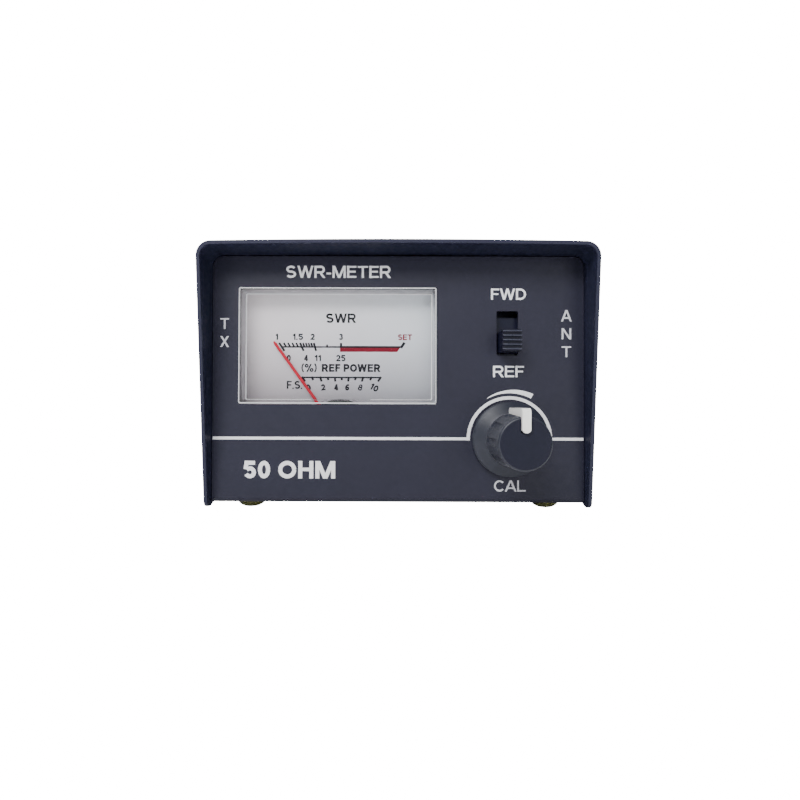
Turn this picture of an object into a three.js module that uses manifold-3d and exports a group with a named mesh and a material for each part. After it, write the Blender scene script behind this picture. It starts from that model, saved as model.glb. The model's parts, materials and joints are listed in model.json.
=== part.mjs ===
// A small SWR meter for a radio bench: a steel case, a moving-coil meter behind a clear window,
// a slide switch, a calibration knob on a potentiometer, and two coaxial sockets at the back.
// Millimetres. +X is right seen from the front, +Y is back, +Z is up.
import * as THREE from "three";
import { mergeVertices } from "three/addons/utils/BufferGeometryUtils.js";
import Module from "manifold-3d";

const wasm = await Module();
wasm.setup();

// ---- Driving dimensions ---------------------------------------------------------------------
const SHEET = 1.0; // steel sheet of the case
const GAP = 0.1; // between pieces that rest on each other
const FIT = 0.05; // radial room of a running fit
const WELD = 1e-4; // vertices closer than this are one

const CASE = { width: 100, top: 66.1, crown: 0.4, corner: 3.8, depth: 60 };
const COVER = { overhangTop: 8.6, overhangBottom: 2.3, overhangRear: 1.5, bottom: -0.1 };
const NIB = { drop: 0.8, straight: 0.4, end: 2.4 }; // the hood's lower front tips hang down
const PANEL = { height: 64.8, bend: 1.3 };
const FLANGE = { height: 9, front: 3, rear: 57 };
const FOOT = { height: 3.75, radius: 4.3, flat: 1.0, x: 42.5, front: 14, rear: 47 };
const COVER_SCREW = { z: 5, front: 14, rear: 46, radius: 1.5, length: 4.6 };

const WINDOW = { x: -15.9, z: 41.2, width: 51.9, height: 30.5, proud: 0.8, corner: 0.4 };
const METER = { x: -15.9, bottom: 3.6, top: 58.1, width: 55.4, wall: 1.2, back: 24, corner: 1.0 };
const LENS = { wall: 1.0, front: 1.1, flangeFront: 1.8, flangeBack: 3.0, skirtBack: 8.0 };
const PIVOT = { x: -15.4, z: 17.25 };
const NEEDLE = { length: 31.7, width: 0.75, thickness: 0.3, y: 5.0, restAngle: 36.0, tail: 6.5, hub: 1.6 };
const DIAL = { front: 6.0, thickness: 0.5, hole: 9.0 };
const HUB = { radius: 9.9, wall: 0.7, front: 1.0, thickness: 0.7, back: 5.9, mouth: 50 };
const YOKE = { outer: 11.5, inner: 8.4, front: 9.6, back: 17.2 };
const CORE = { radius: 6.2, front: 9.8, back: 17.0 };
const COIL = { inner: 6.9, outer: 7.9, front: 8.2, back: 18.6, end: 0.9, width: 1.3 };
const BRIDGE = { front: 2.1, thickness: 0.9, halfHeight: 1.4, post: 0.65, postInner: 8.05 };
const PIVOT_PIN = { radius: 0.5, taper: 1.0, frontTip: 2.9, rearTip: 22.4 };
const SPRING = { strip: 0.16, inner: 1.0, outer: 3.6, turns: 3, steps: 42 };
const SPRING_SPAN = { front: [3.9, 4.3], rear: [19.6, 20.0] };
const JEWEL = { frontRadius: 1.0, frontLength: 1.6, rearRadius: 1.25, rearLength: 3.2 };
const JEWEL_HEAD = { height: 0.3, seat: 0.35 };
const TERMINAL = { spread: 16, z: 46, radius: 1.2, collar: 2.2, reach: 4 };

const SLOT = { x: 28.7, z: 44.6, width: 5.65, height: 11.7, corner: 0.5 };
const LEVER = { width: 4.8, height: 5.5, proud: 6.0, travel: 5.0, ribs: 5 };
const SHOE = { width: 9.2, height: 13.7, back: 4.2 }; // slides behind the slot and closes most of it
const SWITCH = { width: 12, length: 35, bodyLength: 20.6, back: 8, holePitch: 28, sheet: 0.6, tabs: 4 };
const STUD = { radius: 1.2, end: 5.4, nut: 4.5, nutThick: 1.6 };
const CONTACT = { width: 6.4, height: 7.2, front: 4.3, back: 4.7, footBack: 6.2 };

const KNOB = { x: 29.25, z: 16.85, skirt: 9.8, body: 6.6, cap: 16.5, gap: 0.7, edge: 1.1, flutes: 10 };
const FLUTE = { radius: 1.15, depth: 0.4, end: 5.5 };
const MARKER = { width: 2.0, proud: 0.9, side: 1.6, tipRadius: 2.5, back: 3.6, root: 1.2, capDepth: 0.9 };
const SHAFT = { radius: 3.0, front: 14.0, back: 6.9, flat: 1.6, flatBack: 6.5 };
const BUSH = { radius: 3.5, front: 5.0 };
const POT = { radius: 8.25, wall: 0.6, front: 1.15, back: 9.2, flange: 1.0 };
const POT_TONGUE = { halfWidth: 4.5, drop: 13, front: 6.0, back: 6.8, tab: 1.6, tabPitch: 3.2 };
const POT_NUT = { flats: 10, thickness: 2 };
const WIPER = { collar: 4.6, front: 4.4, back: 5.0, arm: 1.0, reach: 6.8, finger: 0.8 };

const SOCKET = { x: 24, z: 33, flange: 25.4, flangeThick: 1.6, corner: 1.2, thread: 7.9, length: 10.9 };
const SOCKET_HOLE = { bore: 6.35, recess: 6.5, pin: 2.0, panel: 6.6, pitch: 18.26, screw: 1.6 };
const NOTCH = { half: 0.8, depth: 1.2 };
const INSULATOR = { inner: 55 }; // its end inside the case
const CENTRE = { wall: 0.6, pin: 1.5, tail: 1.6, slit: 0.25, slitDepth: 5 };
const SOCKET_SCREW = { radius: 1.45, length: 5.5 };
const BOARD = { width: 74, height: 24, front: 50.6, thickness: 1.6, corner: 0.8 };
const DIODE = { radius: 1.1, half: 2.1, lead: 0.3, reach: 5.0, lift: 1.6, x: 9, drop: 7 };
const WIRE = { radius: 0.65, sides: 8, steps: 7 };

const FINE = 32; // segments round a large circle
const COARSE = 16; // segments round a small one
const MARKER_FRONT = KNOB.cap + MARKER.proud;
const REAR_END = CASE.depth + SOCKET.flangeThick + GAP + SOCKET.length;
const REACH = 200; // longer than anything that it cuts

// ---- Solids ---------------------------------------------------------------------------------
function toSolid(geometry) {
  const bare = geometry.clone();
  bare.deleteAttribute("normal");
  bare.deleteAttribute("uv");
  const welded = mergeVertices(bare, WELD);
  const corners = [];
  for (let i = 0; i < welded.index.count; i += 3) {
    const [a, b, c] = [0, 1, 2].map((k) => welded.index.getX(i + k));
    if (a !== b && b !== c && c !== a) corners.push(a, b, c);
  }
  return new wasm.Manifold(new wasm.Mesh({
    numProp: 3,
    vertProperties: Float32Array.from(welded.attributes.position.array),
    triVerts: Uint32Array.from(corners),
  }));
}

function toGeometry(solid) {
  const mesh = solid.getMesh();
  const geometry = new THREE.BufferGeometry();
  geometry.setAttribute("position", new THREE.BufferAttribute(mesh.vertProperties, 3));
  geometry.setIndex(new THREE.BufferAttribute(mesh.triVerts, 1));
  return geometry;
}

function join(...geometries) {
  return toGeometry(geometries.map(toSolid).reduce((whole, next) => whole.add(next)));
}

function cut(geometry, ...tools) {
  return toGeometry(tools.map(toSolid).reduce((left, tool) => left.subtract(tool), toSolid(geometry)));
}

function common(first, second) {
  return toGeometry(toSolid(first).intersect(toSolid(second)));
}

// ---- Basic shapes ---------------------------------------------------------------------------
function box([x0, x1], [y0, y1], [z0, z1]) {
  const geometry = new THREE.BoxGeometry(x1 - x0, y1 - y0, z1 - z0);
  return geometry.translate((x0 + x1) / 2, (y0 + y1) / 2, (z0 + z1) / 2);
}

function around(centre, half) {
  return [centre - half, centre + half];
}

function rod(radius, [y0, y1], x = 0, z = 0, sides = COARSE) {
  return new THREE.CylinderGeometry(radius, radius, y1 - y0, sides).translate(x, (y0 + y1) / 2, z);
}

function turned(profile, sides = FINE) {
  const points = profile.map(([radius, y]) => new THREE.Vector2(radius, y));
  return new THREE.LatheGeometry(points, sides);
}

function roundedRect(width, height, radius, x = 0, z = 0) {
  const shape = new THREE.Shape();
  const [left, right] = around(x, width / 2);
  const [low, high] = around(z, height / 2);
  const quarter = Math.PI / 2;
  shape.absarc(right - radius, low + radius, radius, -quarter, 0);
  shape.absarc(right - radius, high - radius, radius, 0, quarter);
  shape.absarc(left + radius, high - radius, radius, quarter, 2 * quarter);
  shape.absarc(left + radius, low + radius, radius, 2 * quarter, 3 * quarter);
  shape.closePath();
  return shape;
}

// A flat outline in X and Z, made solid between two depths.
function plate(shape, [y0, y1], curveSegments = 2) {
  const geometry = new THREE.ExtrudeGeometry(shape, { depth: y1 - y0, bevelEnabled: false, curveSegments });
  return geometry.rotateX(Math.PI / 2).translate(0, y1, 0);
}

// A flat outline in Y and Z, made solid from side to side.
function sweepAcross(shape, halfWidth, curveSegments = 4) {
  const options = { depth: 2 * halfWidth, bevelEnabled: false, curveSegments };
  const geometry = new THREE.ExtrudeGeometry(shape, options).translate(0, 0, -halfWidth);
  const [x, y, z] = [[1, 0, 0], [0, 1, 0], [0, 0, 1]].map((axis) => new THREE.Vector3(...axis));
  return geometry.applyMatrix4(new THREE.Matrix4().makeBasis(y, z, x));
}

function ring(outer, inner, [y0, y1], sides = FINE) {
  return turned([[inner, y0], [outer, y0], [outer, y1], [inner, y1], [inner, y0]], sides);
}

// ---- Colours --------------------------------------------------------------------------------
function material(color, roughness, metalness = 0, extra = {}) {
  return new THREE.MeshStandardMaterial({ color, roughness, metalness, ...extra });
}

const charcoalPaint = () => material(0x40414c, 0.55, 0.2);
const coverPaint = () => material(0x33343f, 0.6, 0.2);
const blackPlastic = () => material(0x3a3d48, 0.45);
const clearPlastic = () => material(0xe6e8ec, 0.08, 0, { transparent: true, opacity: 0.3 });
const whitePlastic = () => material(0xece9e2, 0.4);
const dialWhite = () => material(0xbfbdc0, 0.6);
const redPaint = () => material(0xb93741, 0.5);
const nickel = () => material(0xb9b7b0, 0.3, 1);
const zincSteel = () => material(0xa8abb0, 0.35, 1);
const brass = () => material(0xb79a55, 0.35, 1);
const copper = () => material(0xb06a3c, 0.4, 1);
const magnet = () => material(0x55575c, 0.5, 0.8);
const phenolic = () => material(0x8a5a34, 0.7);
const amberGlass = () => material(0xa9603a, 0.2);
const insulation = (color) => material(color, 0.5);
const urethane = () => material(0x6d6b3c, 0.3, 0, { transparent: true, opacity: 0.8 });

const group = new THREE.Group();
const unit = new THREE.Group(); // y = 0 is the front panel's face, z = 0 the case's underside
unit.position.set(0, (MARKER_FRONT - REAR_END) / 2, FOOT.height);
group.add(unit);

function piece(name, geometry, look, place = {}) {
  const mesh = new THREE.Mesh(geometry, look);
  mesh.name = name;
  mesh.position.set(place.x ?? 0, place.y ?? 0, place.z ?? 0);
  mesh.rotation.set(place.tilt ?? 0, place.roll ?? 0, place.turn ?? 0);
  unit.add(mesh);
  return mesh;
}

// ---- Fasteners ------------------------------------------------------------------------------
// A pan-head screw along Y, its head's underside at y = 0 and its shank going to +Y.
function panScrew(radius, length) {
  const headRadius = radius * 1.85;
  const headHeight = radius * 1.1;
  const crown = headHeight * 0.45;
  const tip = radius * 0.5;
  const body = turned([
    [0, -headHeight], [headRadius * 0.6, -headHeight], [headRadius, crown - headHeight], [headRadius, 0],
    [radius, 0], [radius, length - tip], [tip, length], [0, length],
  ], COARSE);
  const slotWidth = radius * 0.3;
  const slotReach = headRadius * 0.6;
  const slotDepth = [-headHeight * 2, -headHeight * 0.35];
  const upright = box(around(0, slotWidth), slotDepth, around(0, slotReach));
  const level = box(around(0, slotReach), slotDepth, around(0, slotWidth));
  return cut(body, upright, level);
}

function hexNut(acrossFlats, hole, [y0, y1]) {
  const corner = acrossFlats / 2 / Math.cos(Math.PI / 6);
  return cut(rod(corner, [y0, y1], 0, 0, 6), rod(hole, around((y0 + y1) / 2, y1 - y0), 0, 0, FINE));
}

// ---- Case -----------------------------------------------------------------------------------
const chassisHalf = CASE.width / 2 - SHEET - 2 * GAP;

function chassisProfile() {
  const shape = new THREE.Shape();
  const { height, bend } = PANEL;
  const depth = CASE.depth;
  shape.moveTo(0, height);
  shape.lineTo(0, bend);
  shape.absarc(bend, bend, bend, Math.PI, 1.5 * Math.PI);
  shape.absarc(depth - bend, bend, bend, 1.5 * Math.PI, 2 * Math.PI);
  shape.lineTo(depth, height);
  shape.lineTo(depth - SHEET, height);
  shape.lineTo(depth - SHEET, SHEET);
  shape.lineTo(SHEET, SHEET);
  shape.lineTo(SHEET, height);
  shape.closePath();
  return shape;
}

function socketScrewPlaces(x) {
  const half = SOCKET_HOLE.pitch / 2;
  return [[x - half, SOCKET.z + half], [x + half, SOCKET.z - half]];
}

function chassis() {
  const sideWalls = [-1, 1].map((side) => {
    const edges = [side * chassisHalf, side * (chassisHalf - SHEET)].sort((a, b) => a - b);
    return box(edges, [FLANGE.front, FLANGE.rear], [SHEET / 2, FLANGE.height]);
  });
  const studs = [-1, 1].map((side) => {
    const z = SLOT.z + (side * SWITCH.holePitch) / 2;
    return rod(STUD.radius, [SHEET / 2, STUD.end], SLOT.x, z);
  });
  const corner = CASE.corner - SHEET;
  const panelMiddle = PANEL.height - chassisHalf;
  const outline = roundedRect(2 * chassisHalf, 2 * chassisHalf, corner, 0, panelMiddle);
  const bent = sweepAcross(chassisProfile(), chassisHalf);
  const rounded = common(bent, plate(outline, [-SHEET, CASE.depth + SHEET]));
  const whole = join(rounded, ...sideWalls, ...studs);
  const windowHole = roundedRect(
    WINDOW.width + 3 * GAP, WINDOW.height + 3 * GAP, WINDOW.corner, WINDOW.x, WINDOW.z);
  const slotHole = roundedRect(SLOT.width, SLOT.height, SLOT.corner, SLOT.x, SLOT.z);
  const frontFace = [-SHEET, 2 * SHEET];
  const rearFace = [CASE.depth - 2 * SHEET, CASE.depth + SHEET];
  const tools = [
    plate(windowHole, frontFace),
    plate(slotHole, frontFace),
    rod(BUSH.radius + GAP, frontFace, KNOB.x, KNOB.z, FINE),
  ];
  for (const side of [-1, 1]) {
    tools.push(rod(SOCKET_HOLE.panel, rearFace, side * SOCKET.x, SOCKET.z, FINE));
    for (const [x, z] of socketScrewPlaces(side * SOCKET.x)) {
      tools.push(rod(SOCKET_HOLE.screw, rearFace, x, z));
    }
  }
  return cut(whole, ...tools, ...coverScrewBars());
}

function coverScrewBars() {
  return [COVER_SCREW.front, COVER_SCREW.rear].map((y) => {
    const bar = rod(COVER_SCREW.radius + GAP, around(0, REACH)).rotateZ(Math.PI / 2);
    return bar.translate(0, y, COVER_SCREW.z);
  });
}

const COVER_LOW = COVER.bottom - NIB.drop;

function coverProfile() {
  const shape = new THREE.Shape();
  const half = CASE.width / 2;
  const { corner, crown } = CASE;
  const inner = half - SHEET;
  const innerCorner = corner - SHEET;
  const shoulder = CASE.top - corner;
  shape.moveTo(-half, COVER_LOW);
  shape.lineTo(-inner, COVER_LOW);
  shape.lineTo(-inner, shoulder);
  shape.absarc(-inner + innerCorner, shoulder, innerCorner, Math.PI, Math.PI / 2, true);
  shape.quadraticCurveTo(0, CASE.top - SHEET + 2 * crown, inner - innerCorner, CASE.top - SHEET);
  shape.absarc(inner - innerCorner, shoulder, innerCorner, Math.PI / 2, 0, true);
  shape.lineTo(inner, COVER_LOW);
  shape.lineTo(half, COVER_LOW);
  shape.lineTo(half, shoulder);
  shape.absarc(half - corner, shoulder, corner, 0, Math.PI / 2);
  shape.quadraticCurveTo(0, CASE.top + 2 * crown, -half + corner, CASE.top);
  shape.absarc(-half + corner, shoulder, corner, Math.PI / 2, Math.PI);
  shape.closePath();
  return shape;
}

// The hood's front edge leans: it overhangs the panel more at the top than at the bottom.
function coverFrontCutter() {
  const lean = (COVER.overhangTop - COVER.overhangBottom) / (CASE.top - COVER_LOW);
  const below = COVER_LOW - SHEET;
  const above = CASE.top + 2 * SHEET;
  const frontAt = (z) => -COVER.overhangBottom - lean * (z - COVER_LOW);
  const shape = new THREE.Shape();
  shape.moveTo(frontAt(below), below);
  shape.lineTo(frontAt(above), above);
  shape.lineTo(-2 * COVER.overhangTop, above);
  shape.lineTo(-2 * COVER.overhangTop, below);
  shape.closePath();
  return sweepAcross(shape, CASE.width);
}

// Behind its lower front tip, the lower edge of each side rises a little.
function coverBottomCutter() {
  const below = COVER_LOW - SHEET;
  const shape = new THREE.Shape();
  shape.moveTo(NIB.straight, below);
  shape.lineTo(REACH, below);
  shape.lineTo(REACH, COVER.bottom);
  shape.lineTo(NIB.end, COVER.bottom);
  shape.lineTo(NIB.straight, COVER_LOW);
  shape.closePath();
  return sweepAcross(shape, CASE.width);
}

function topCover() {
  const segments = 5;
  const span = [-COVER.overhangTop - SHEET, CASE.depth + COVER.overhangRear];
  const hood = plate(coverProfile(), span, segments);
  return cut(hood, coverFrontCutter(), coverBottomCutter(), ...coverScrewBars());
}

// A round bumper: a short straight side, then a dome down to a small flat.
function foot() {
  const rows = 6;
  const sides = 24;
  const straight = 0.2 * FOOT.height;
  const profile = [[0, -GAP], [FOOT.radius, -GAP]];
  for (let i = 0; i <= rows; i += 1) {
    const angle = (i / rows) * (Math.PI / 2);
    const radius = FOOT.flat + (FOOT.radius - FOOT.flat) * Math.cos(angle);
    profile.push([radius, -straight - (FOOT.height - straight) * Math.sin(angle)]);
  }
  profile.push([0, -FOOT.height]);
  return turned(profile.reverse(), sides).rotateX(Math.PI / 2);
}

piece("chassis", chassis(), charcoalPaint());
piece("top_cover", topCover(), coverPaint());
for (const [sideName, side] of [["left", -1], ["right", 1]]) {
  for (const [endName, screwY, footY] of [
    ["front", COVER_SCREW.front, FOOT.front],
    ["rear", COVER_SCREW.rear, FOOT.rear],
  ]) {
    const screw = panScrew(COVER_SCREW.radius, COVER_SCREW.length);
    piece(`cover_screw_${sideName}_${endName}`, screw, zincSteel(), {
      x: side * (CASE.width / 2 + GAP),
      y: screwY,
      z: COVER_SCREW.z,
      turn: (side * Math.PI) / 2,
    });
    piece(`foot_${sideName}_${endName}`, foot(), urethane(), { x: side * FOOT.x, y: footY });
  }
}

// ---- Meter ----------------------------------------------------------------------------------
const meterMiddle = (METER.bottom + METER.top) / 2;
const meterHeight = METER.top - METER.bottom;
const skirtInset = 0.8;
const innerCorner = 0.6;
const bossProud = 0.8;
const tongueInset = skirtInset + 2 * METER.wall + 4 * GAP;

function meterRect(inset, radius) {
  return roundedRect(METER.width - inset, meterHeight - inset, radius, METER.x, meterMiddle);
}

function windowRect(inset, radius) {
  return roundedRect(WINDOW.width - inset, WINDOW.height - inset, radius, WINDOW.x, WINDOW.z);
}

function meterLens() {
  const whole = join(
    plate(windowRect(0, WINDOW.corner), [-WINDOW.proud, LENS.flangeBack]),
    plate(meterRect(0, METER.corner), [LENS.flangeFront, LENS.flangeBack]),
    plate(meterRect(skirtInset, METER.corner), [LENS.flangeFront, LENS.skirtBack]),
  );
  const inside = LENS.front - WINDOW.proud;
  return cut(
    whole,
    plate(windowRect(2 * LENS.wall, WINDOW.corner), [inside, METER.back]),
    plate(meterRect(skirtInset + 2 * METER.wall, innerCorner), [LENS.flangeBack, METER.back]),
    rod(HUB.radius + 4 * GAP, [inside + GAP, LENS.skirtBack], PIVOT.x, PIVOT.z, FINE),
  );
}

function meterGasket() {
  return cut(
    plate(meterRect(0, METER.corner), [SHEET + GAP, LENS.flangeFront - GAP]),
    plate(windowRect(-4 * GAP, WINDOW.corner), [0, LENS.flangeBack]),
    rod(HUB.radius + SHEET, [0, LENS.flangeBack], PIVOT.x, PIVOT.z, FINE),
  );
}

function dialPlate() {
  const whole = plate(meterRect(tongueInset, innerCorner), [DIAL.front, DIAL.front + DIAL.thickness]);
  return cut(whole, rod(DIAL.hole, [0, METER.back], PIVOT.x, PIVOT.z, FINE));
}

const terminalPlaces = [
  ["left", PIVOT.x - TERMINAL.spread],
  ["right", PIVOT.x + TERMINAL.spread],
];

// The base closes the meter: a tongue that fits in the lens, four legs behind the yoke and a boss
// for the rear jewel screw.
function meterBase() {
  const tongueFront = DIAL.front + DIAL.thickness + GAP;
  const cavity = tongueInset + 2 * METER.wall;
  const tongueBack = LENS.skirtBack + METER.wall;
  const floor = METER.back - METER.wall;
  const legRadius = 1.2;
  const legs = [45, 135, 225, 315].map((degrees) => {
    const angle = THREE.MathUtils.degToRad(degrees);
    const radius = (YOKE.outer + YOKE.inner) / 2;
    const x = PIVOT.x + radius * Math.cos(angle);
    return rod(legRadius, [YOKE.back + GAP, floor + GAP], x, PIVOT.z + radius * Math.sin(angle));
  });
  const shell = cut(
    join(
      plate(meterRect(skirtInset, METER.corner), [LENS.skirtBack + GAP, METER.back]),
      plate(meterRect(tongueInset, METER.corner), [tongueFront, tongueBack]),
    ),
    plate(meterRect(cavity, innerCorner), [0, tongueBack]),
    plate(meterRect(skirtInset + 2 * METER.wall, innerCorner), [tongueBack, floor]),
  );
  const bossSpan = [floor - bossProud, METER.back + bossProud];
  const boss = rod(2 * JEWEL.rearRadius, bossSpan, PIVOT.x, PIVOT.z);
  return cut(
    join(shell, boss, ...legs),
    rod(JEWEL.rearRadius + FIT, [floor - SHEET - bossProud, REACH], PIVOT.x, PIVOT.z),
    ...terminalPlaces.map(([, x]) => rod(TERMINAL.radius + GAP, [floor - SHEET, REACH], x, TERMINAL.z)),
  );
}

function meterTerminal() {
  const collar = rod(TERMINAL.collar, [METER.back + GAP, METER.back + SHEET]);
  const pin = rod(TERMINAL.radius, [METER.back - METER.wall - SHEET, METER.back + TERMINAL.reach]);
  return join(collar, pin);
}

function hubCover() {
  const disc = rod(HUB.radius, [HUB.front, HUB.front + HUB.thickness], 0, 0, FINE);
  const rim = ring(HUB.radius, HUB.radius - HUB.wall, [HUB.front + HUB.thickness / 2, HUB.back]);
  const mouth = new THREE.Shape();
  const halfMouth = THREE.MathUtils.degToRad(HUB.mouth);
  const reach = 2 * HUB.radius;
  mouth.moveTo(0, 0);
  mouth.lineTo(reach * Math.sin(halfMouth), reach * Math.cos(halfMouth));
  mouth.lineTo(-reach * Math.sin(halfMouth), reach * Math.cos(halfMouth));
  mouth.closePath();
  return cut(join(disc, rim), plate(mouth, [HUB.front + HUB.thickness, METER.back]));
}

function frontBridge() {
  const outer = BRIDGE.postInner + BRIDGE.post;
  const span = [BRIDGE.front, BRIDGE.front + BRIDGE.thickness];
  const bar = box(around(0, outer), span, around(0, BRIDGE.halfHeight));
  const postSpan = [BRIDGE.front + BRIDGE.thickness / 2, YOKE.front - GAP];
  const posts = [-1, 1].map((side) => {
    const edges = [side * BRIDGE.postInner, side * outer].sort((a, b) => a - b);
    return box(edges, postSpan, around(0, BRIDGE.halfHeight));
  });
  return cut(join(bar, ...posts), rod(JEWEL.frontRadius + FIT, [0, BRIDGE.front + 2 * BRIDGE.thickness]));
}

// A jewel screw along Y with a cup for the pivot's tip at its +Y end.
function jewelScrew(radius, length) {
  const cup = radius * 0.5;
  const head = radius * 1.4;
  const { height } = JEWEL_HEAD;
  const slot = height / 2;
  const body = turned([
    [0, 0], [head, 0], [head, height], [radius, height], [radius, length], [cup, length],
    [0, length - cup],
  ], COARSE);
  return cut(body, box(around(0, 2 * radius), [-SHEET, slot], around(0, slot)));
}

// A pointed pin along Y from its tip to its blunt end.
function pivotPin(tip, end) {
  const { radius } = PIVOT_PIN;
  const taper = PIVOT_PIN.taper * Math.sign(end - tip);
  const profile = [[0, tip], [radius, tip + taper], [radius, end], [0, end]];
  return turned(end > tip ? profile : profile.reverse(), COARSE);
}

function coil() {
  const outer = box(around(0, COIL.outer), [COIL.front, COIL.back], around(0, COIL.width / 2));
  const inside = [COIL.front + COIL.end, COIL.back - COIL.end];
  const hole = box(around(0, COIL.inner), inside, around(0, COIL.width));
  return cut(outer, hole);
}

// A flat spiral strip, wound by a loop from the inside out.
function hairspring([y0, y1]) {
  const { strip, inner, outer, turns, steps } = SPRING;
  const along = (radius, i) => {
    const angle = (i / steps) * turns * 2 * Math.PI;
    const reach = radius + (outer - inner) * (i / steps);
    return [reach * Math.cos(angle), reach * Math.sin(angle)];
  };
  const shape = new THREE.Shape();
  shape.moveTo(...along(inner, 0));
  for (let i = 1; i <= steps; i += 1) shape.lineTo(...along(inner, i));
  for (let i = steps; i >= 0; i -= 1) shape.lineTo(...along(inner + strip, i));
  shape.closePath();
  return plate(shape, [y0, y1]);
}

function needle() {
  const { length, width, thickness, y, tail } = NEEDLE;
  const weightHalf = 1.3;
  const weightSpan = [-tail - 0.4, -tail + 1.4];
  const pointer = new THREE.Shape();
  const half = width / 2;
  pointer.moveTo(-half, -tail);
  pointer.lineTo(half, -tail);
  pointer.lineTo(half, length - width);
  pointer.lineTo(half / 2, length);
  pointer.lineTo(-half / 2, length);
  pointer.lineTo(-half, length - width);
  pointer.closePath();
  const weight = box(around(0, weightHalf), [y, y + thickness], weightSpan);
  const hub = rod(NEEDLE.hub, [y, y + thickness]);
  const bore = rod(PIVOT_PIN.radius + FIT, [0, METER.back]);
  return cut(join(plate(pointer, [y, y + thickness]), hub, weight), bore);
}

// Carries the core magnet on the yoke ring, below the pivot.
function coreSpacer() {
  const halfWidth = 1.6;
  const bottom = GAP - Math.sqrt(YOKE.inner ** 2 - halfWidth ** 2);
  const block = box(around(0, halfWidth), [CORE.front, CORE.back], [bottom, -CORE.radius / 2]);
  return cut(block, rod(CORE.radius + GAP, [0, METER.back], 0, 0, FINE));
}

const atPivot = { x: PIVOT.x, z: PIVOT.z };
const swung = { ...atPivot, roll: -THREE.MathUtils.degToRad(NEEDLE.restAngle) };

piece("meter_lens", meterLens(), clearPlastic());
piece("meter_gasket", meterGasket(), blackPlastic());
piece("dial_plate", dialPlate(), dialWhite());
piece("meter_base", meterBase(), blackPlastic());
piece("hub_cover", hubCover(), blackPlastic(), atPivot);
piece("front_bridge", frontBridge(), brass(), atPivot);
piece("front_jewel_screw", jewelScrew(JEWEL.frontRadius, JEWEL.frontLength), zincSteel(), {
  ...atPivot,
  y: BRIDGE.front - JEWEL_HEAD.seat,
});
piece("rear_jewel_screw", jewelScrew(JEWEL.rearRadius, JEWEL.rearLength), zincSteel(), {
  ...atPivot,
  y: METER.back + bossProud + JEWEL_HEAD.seat,
  turn: Math.PI,
});
piece("yoke_ring", ring(YOKE.outer, YOKE.inner, [YOKE.front, YOKE.back]), zincSteel(), atPivot);
piece("core_magnet", rod(CORE.radius, [CORE.front, CORE.back], 0, 0, FINE), magnet(), atPivot);
piece("core_spacer", coreSpacer(), brass(), atPivot);
piece("coil", coil(), copper(), swung);
piece("front_pivot", pivotPin(PIVOT_PIN.frontTip, COIL.front - GAP), zincSteel(), swung);
piece("rear_pivot", pivotPin(PIVOT_PIN.rearTip, COIL.back + GAP), zincSteel(), swung);
piece("needle", needle(), redPaint(), swung);
piece("front_hairspring", hairspring(SPRING_SPAN.front), copper(), swung);
piece("rear_hairspring", hairspring(SPRING_SPAN.rear), copper(), swung);
for (const [name, x] of terminalPlaces) {
  piece(`meter_terminal_${name}`, meterTerminal(), brass(), { x, z: TERMINAL.z });
}

// ---- Slide switch ---------------------------------------------------------------------------
const switchFront = SHEET + GAP;
const switchInside = switchFront + SWITCH.sheet;
const switchSeat = switchInside + GAP;

function switchFrame() {
  const { width, length, bodyLength, back, sheet, holePitch } = SWITCH;
  const ears = box(around(0, width / 2), [switchFront, switchInside], around(0, length / 2));
  const can = box(around(0, width / 2), [switchFront, back], around(0, bodyLength / 2));
  const inside = [switchInside, REACH];
  const hollow = box(around(0, width / 2 - sheet), inside, around(0, bodyLength / 2 - sheet));
  const wide = SLOT.width + 4 * GAP;
  const high = SLOT.height + 4 * GAP;
  const mouth = plate(roundedRect(wide, high, SLOT.corner), [0, back]);
  const holes = [-1, 1].map((side) => {
    return rod(STUD.radius + 2 * GAP, [0, back], 0, (side * holePitch) / 2);
  });
  return cut(join(ears, can), hollow, mouth, ...holes);
}

function switchBase() {
  const { width, bodyLength, back, sheet } = SWITCH;
  const thickness = 1.3;
  const tabHalf = 0.9;
  const tabThin = 0.3;
  const inset = sheet + GAP;
  const span = [back - GAP - thickness, back - GAP];
  const board = box(around(0, width / 2 - inset), span, around(0, bodyLength / 2 - inset));
  const tabs = [-1, 0, 1].map((step) => {
    const z = step * LEVER.travel;
    return box(around(0, tabHalf), [back - SHEET, back + SWITCH.tabs], around(z, tabThin));
  });
  return join(board, ...tabs);
}

// The lever's front face carries moulded ribs across its width. Its shoe runs inside the frame.
function switchLever() {
  const half = LEVER.width / 2;
  const ribHeight = 0.75;
  const ribHalf = 0.22;
  const front = -LEVER.proud;
  const stemSpan = [front + ribHeight, SHOE.back - SHEET];
  const stem = box(around(0, half), stemSpan, around(0, LEVER.height / 2));
  const shoe = box(around(0, SHOE.width / 2), [switchSeat, SHOE.back], around(0, SHOE.height / 2));
  const pitch = (LEVER.height - SHEET) / (LEVER.ribs - 1);
  const ribs = Array.from({ length: LEVER.ribs }, (_, i) => {
    const z = (i - (LEVER.ribs - 1) / 2) * pitch;
    return box(around(0, half), [front, front + 1.5 * ribHeight], around(z, ribHalf));
  });
  return join(stem, shoe, ...ribs);
}

function switchContact() {
  const { width, height, front, back, footBack } = CONTACT;
  const footWide = 2.4;
  const footThin = 0.5;
  const leaf = box(around(0, width / 2), [front, back], around(0, height / 2));
  const feet = [-1, 1].map((side) => {
    const z = (side * LEVER.travel) / 2;
    return box(around(0, footWide), [(front + back) / 2, footBack], around(z, footThin));
  });
  return join(leaf, ...feet);
}

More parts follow.
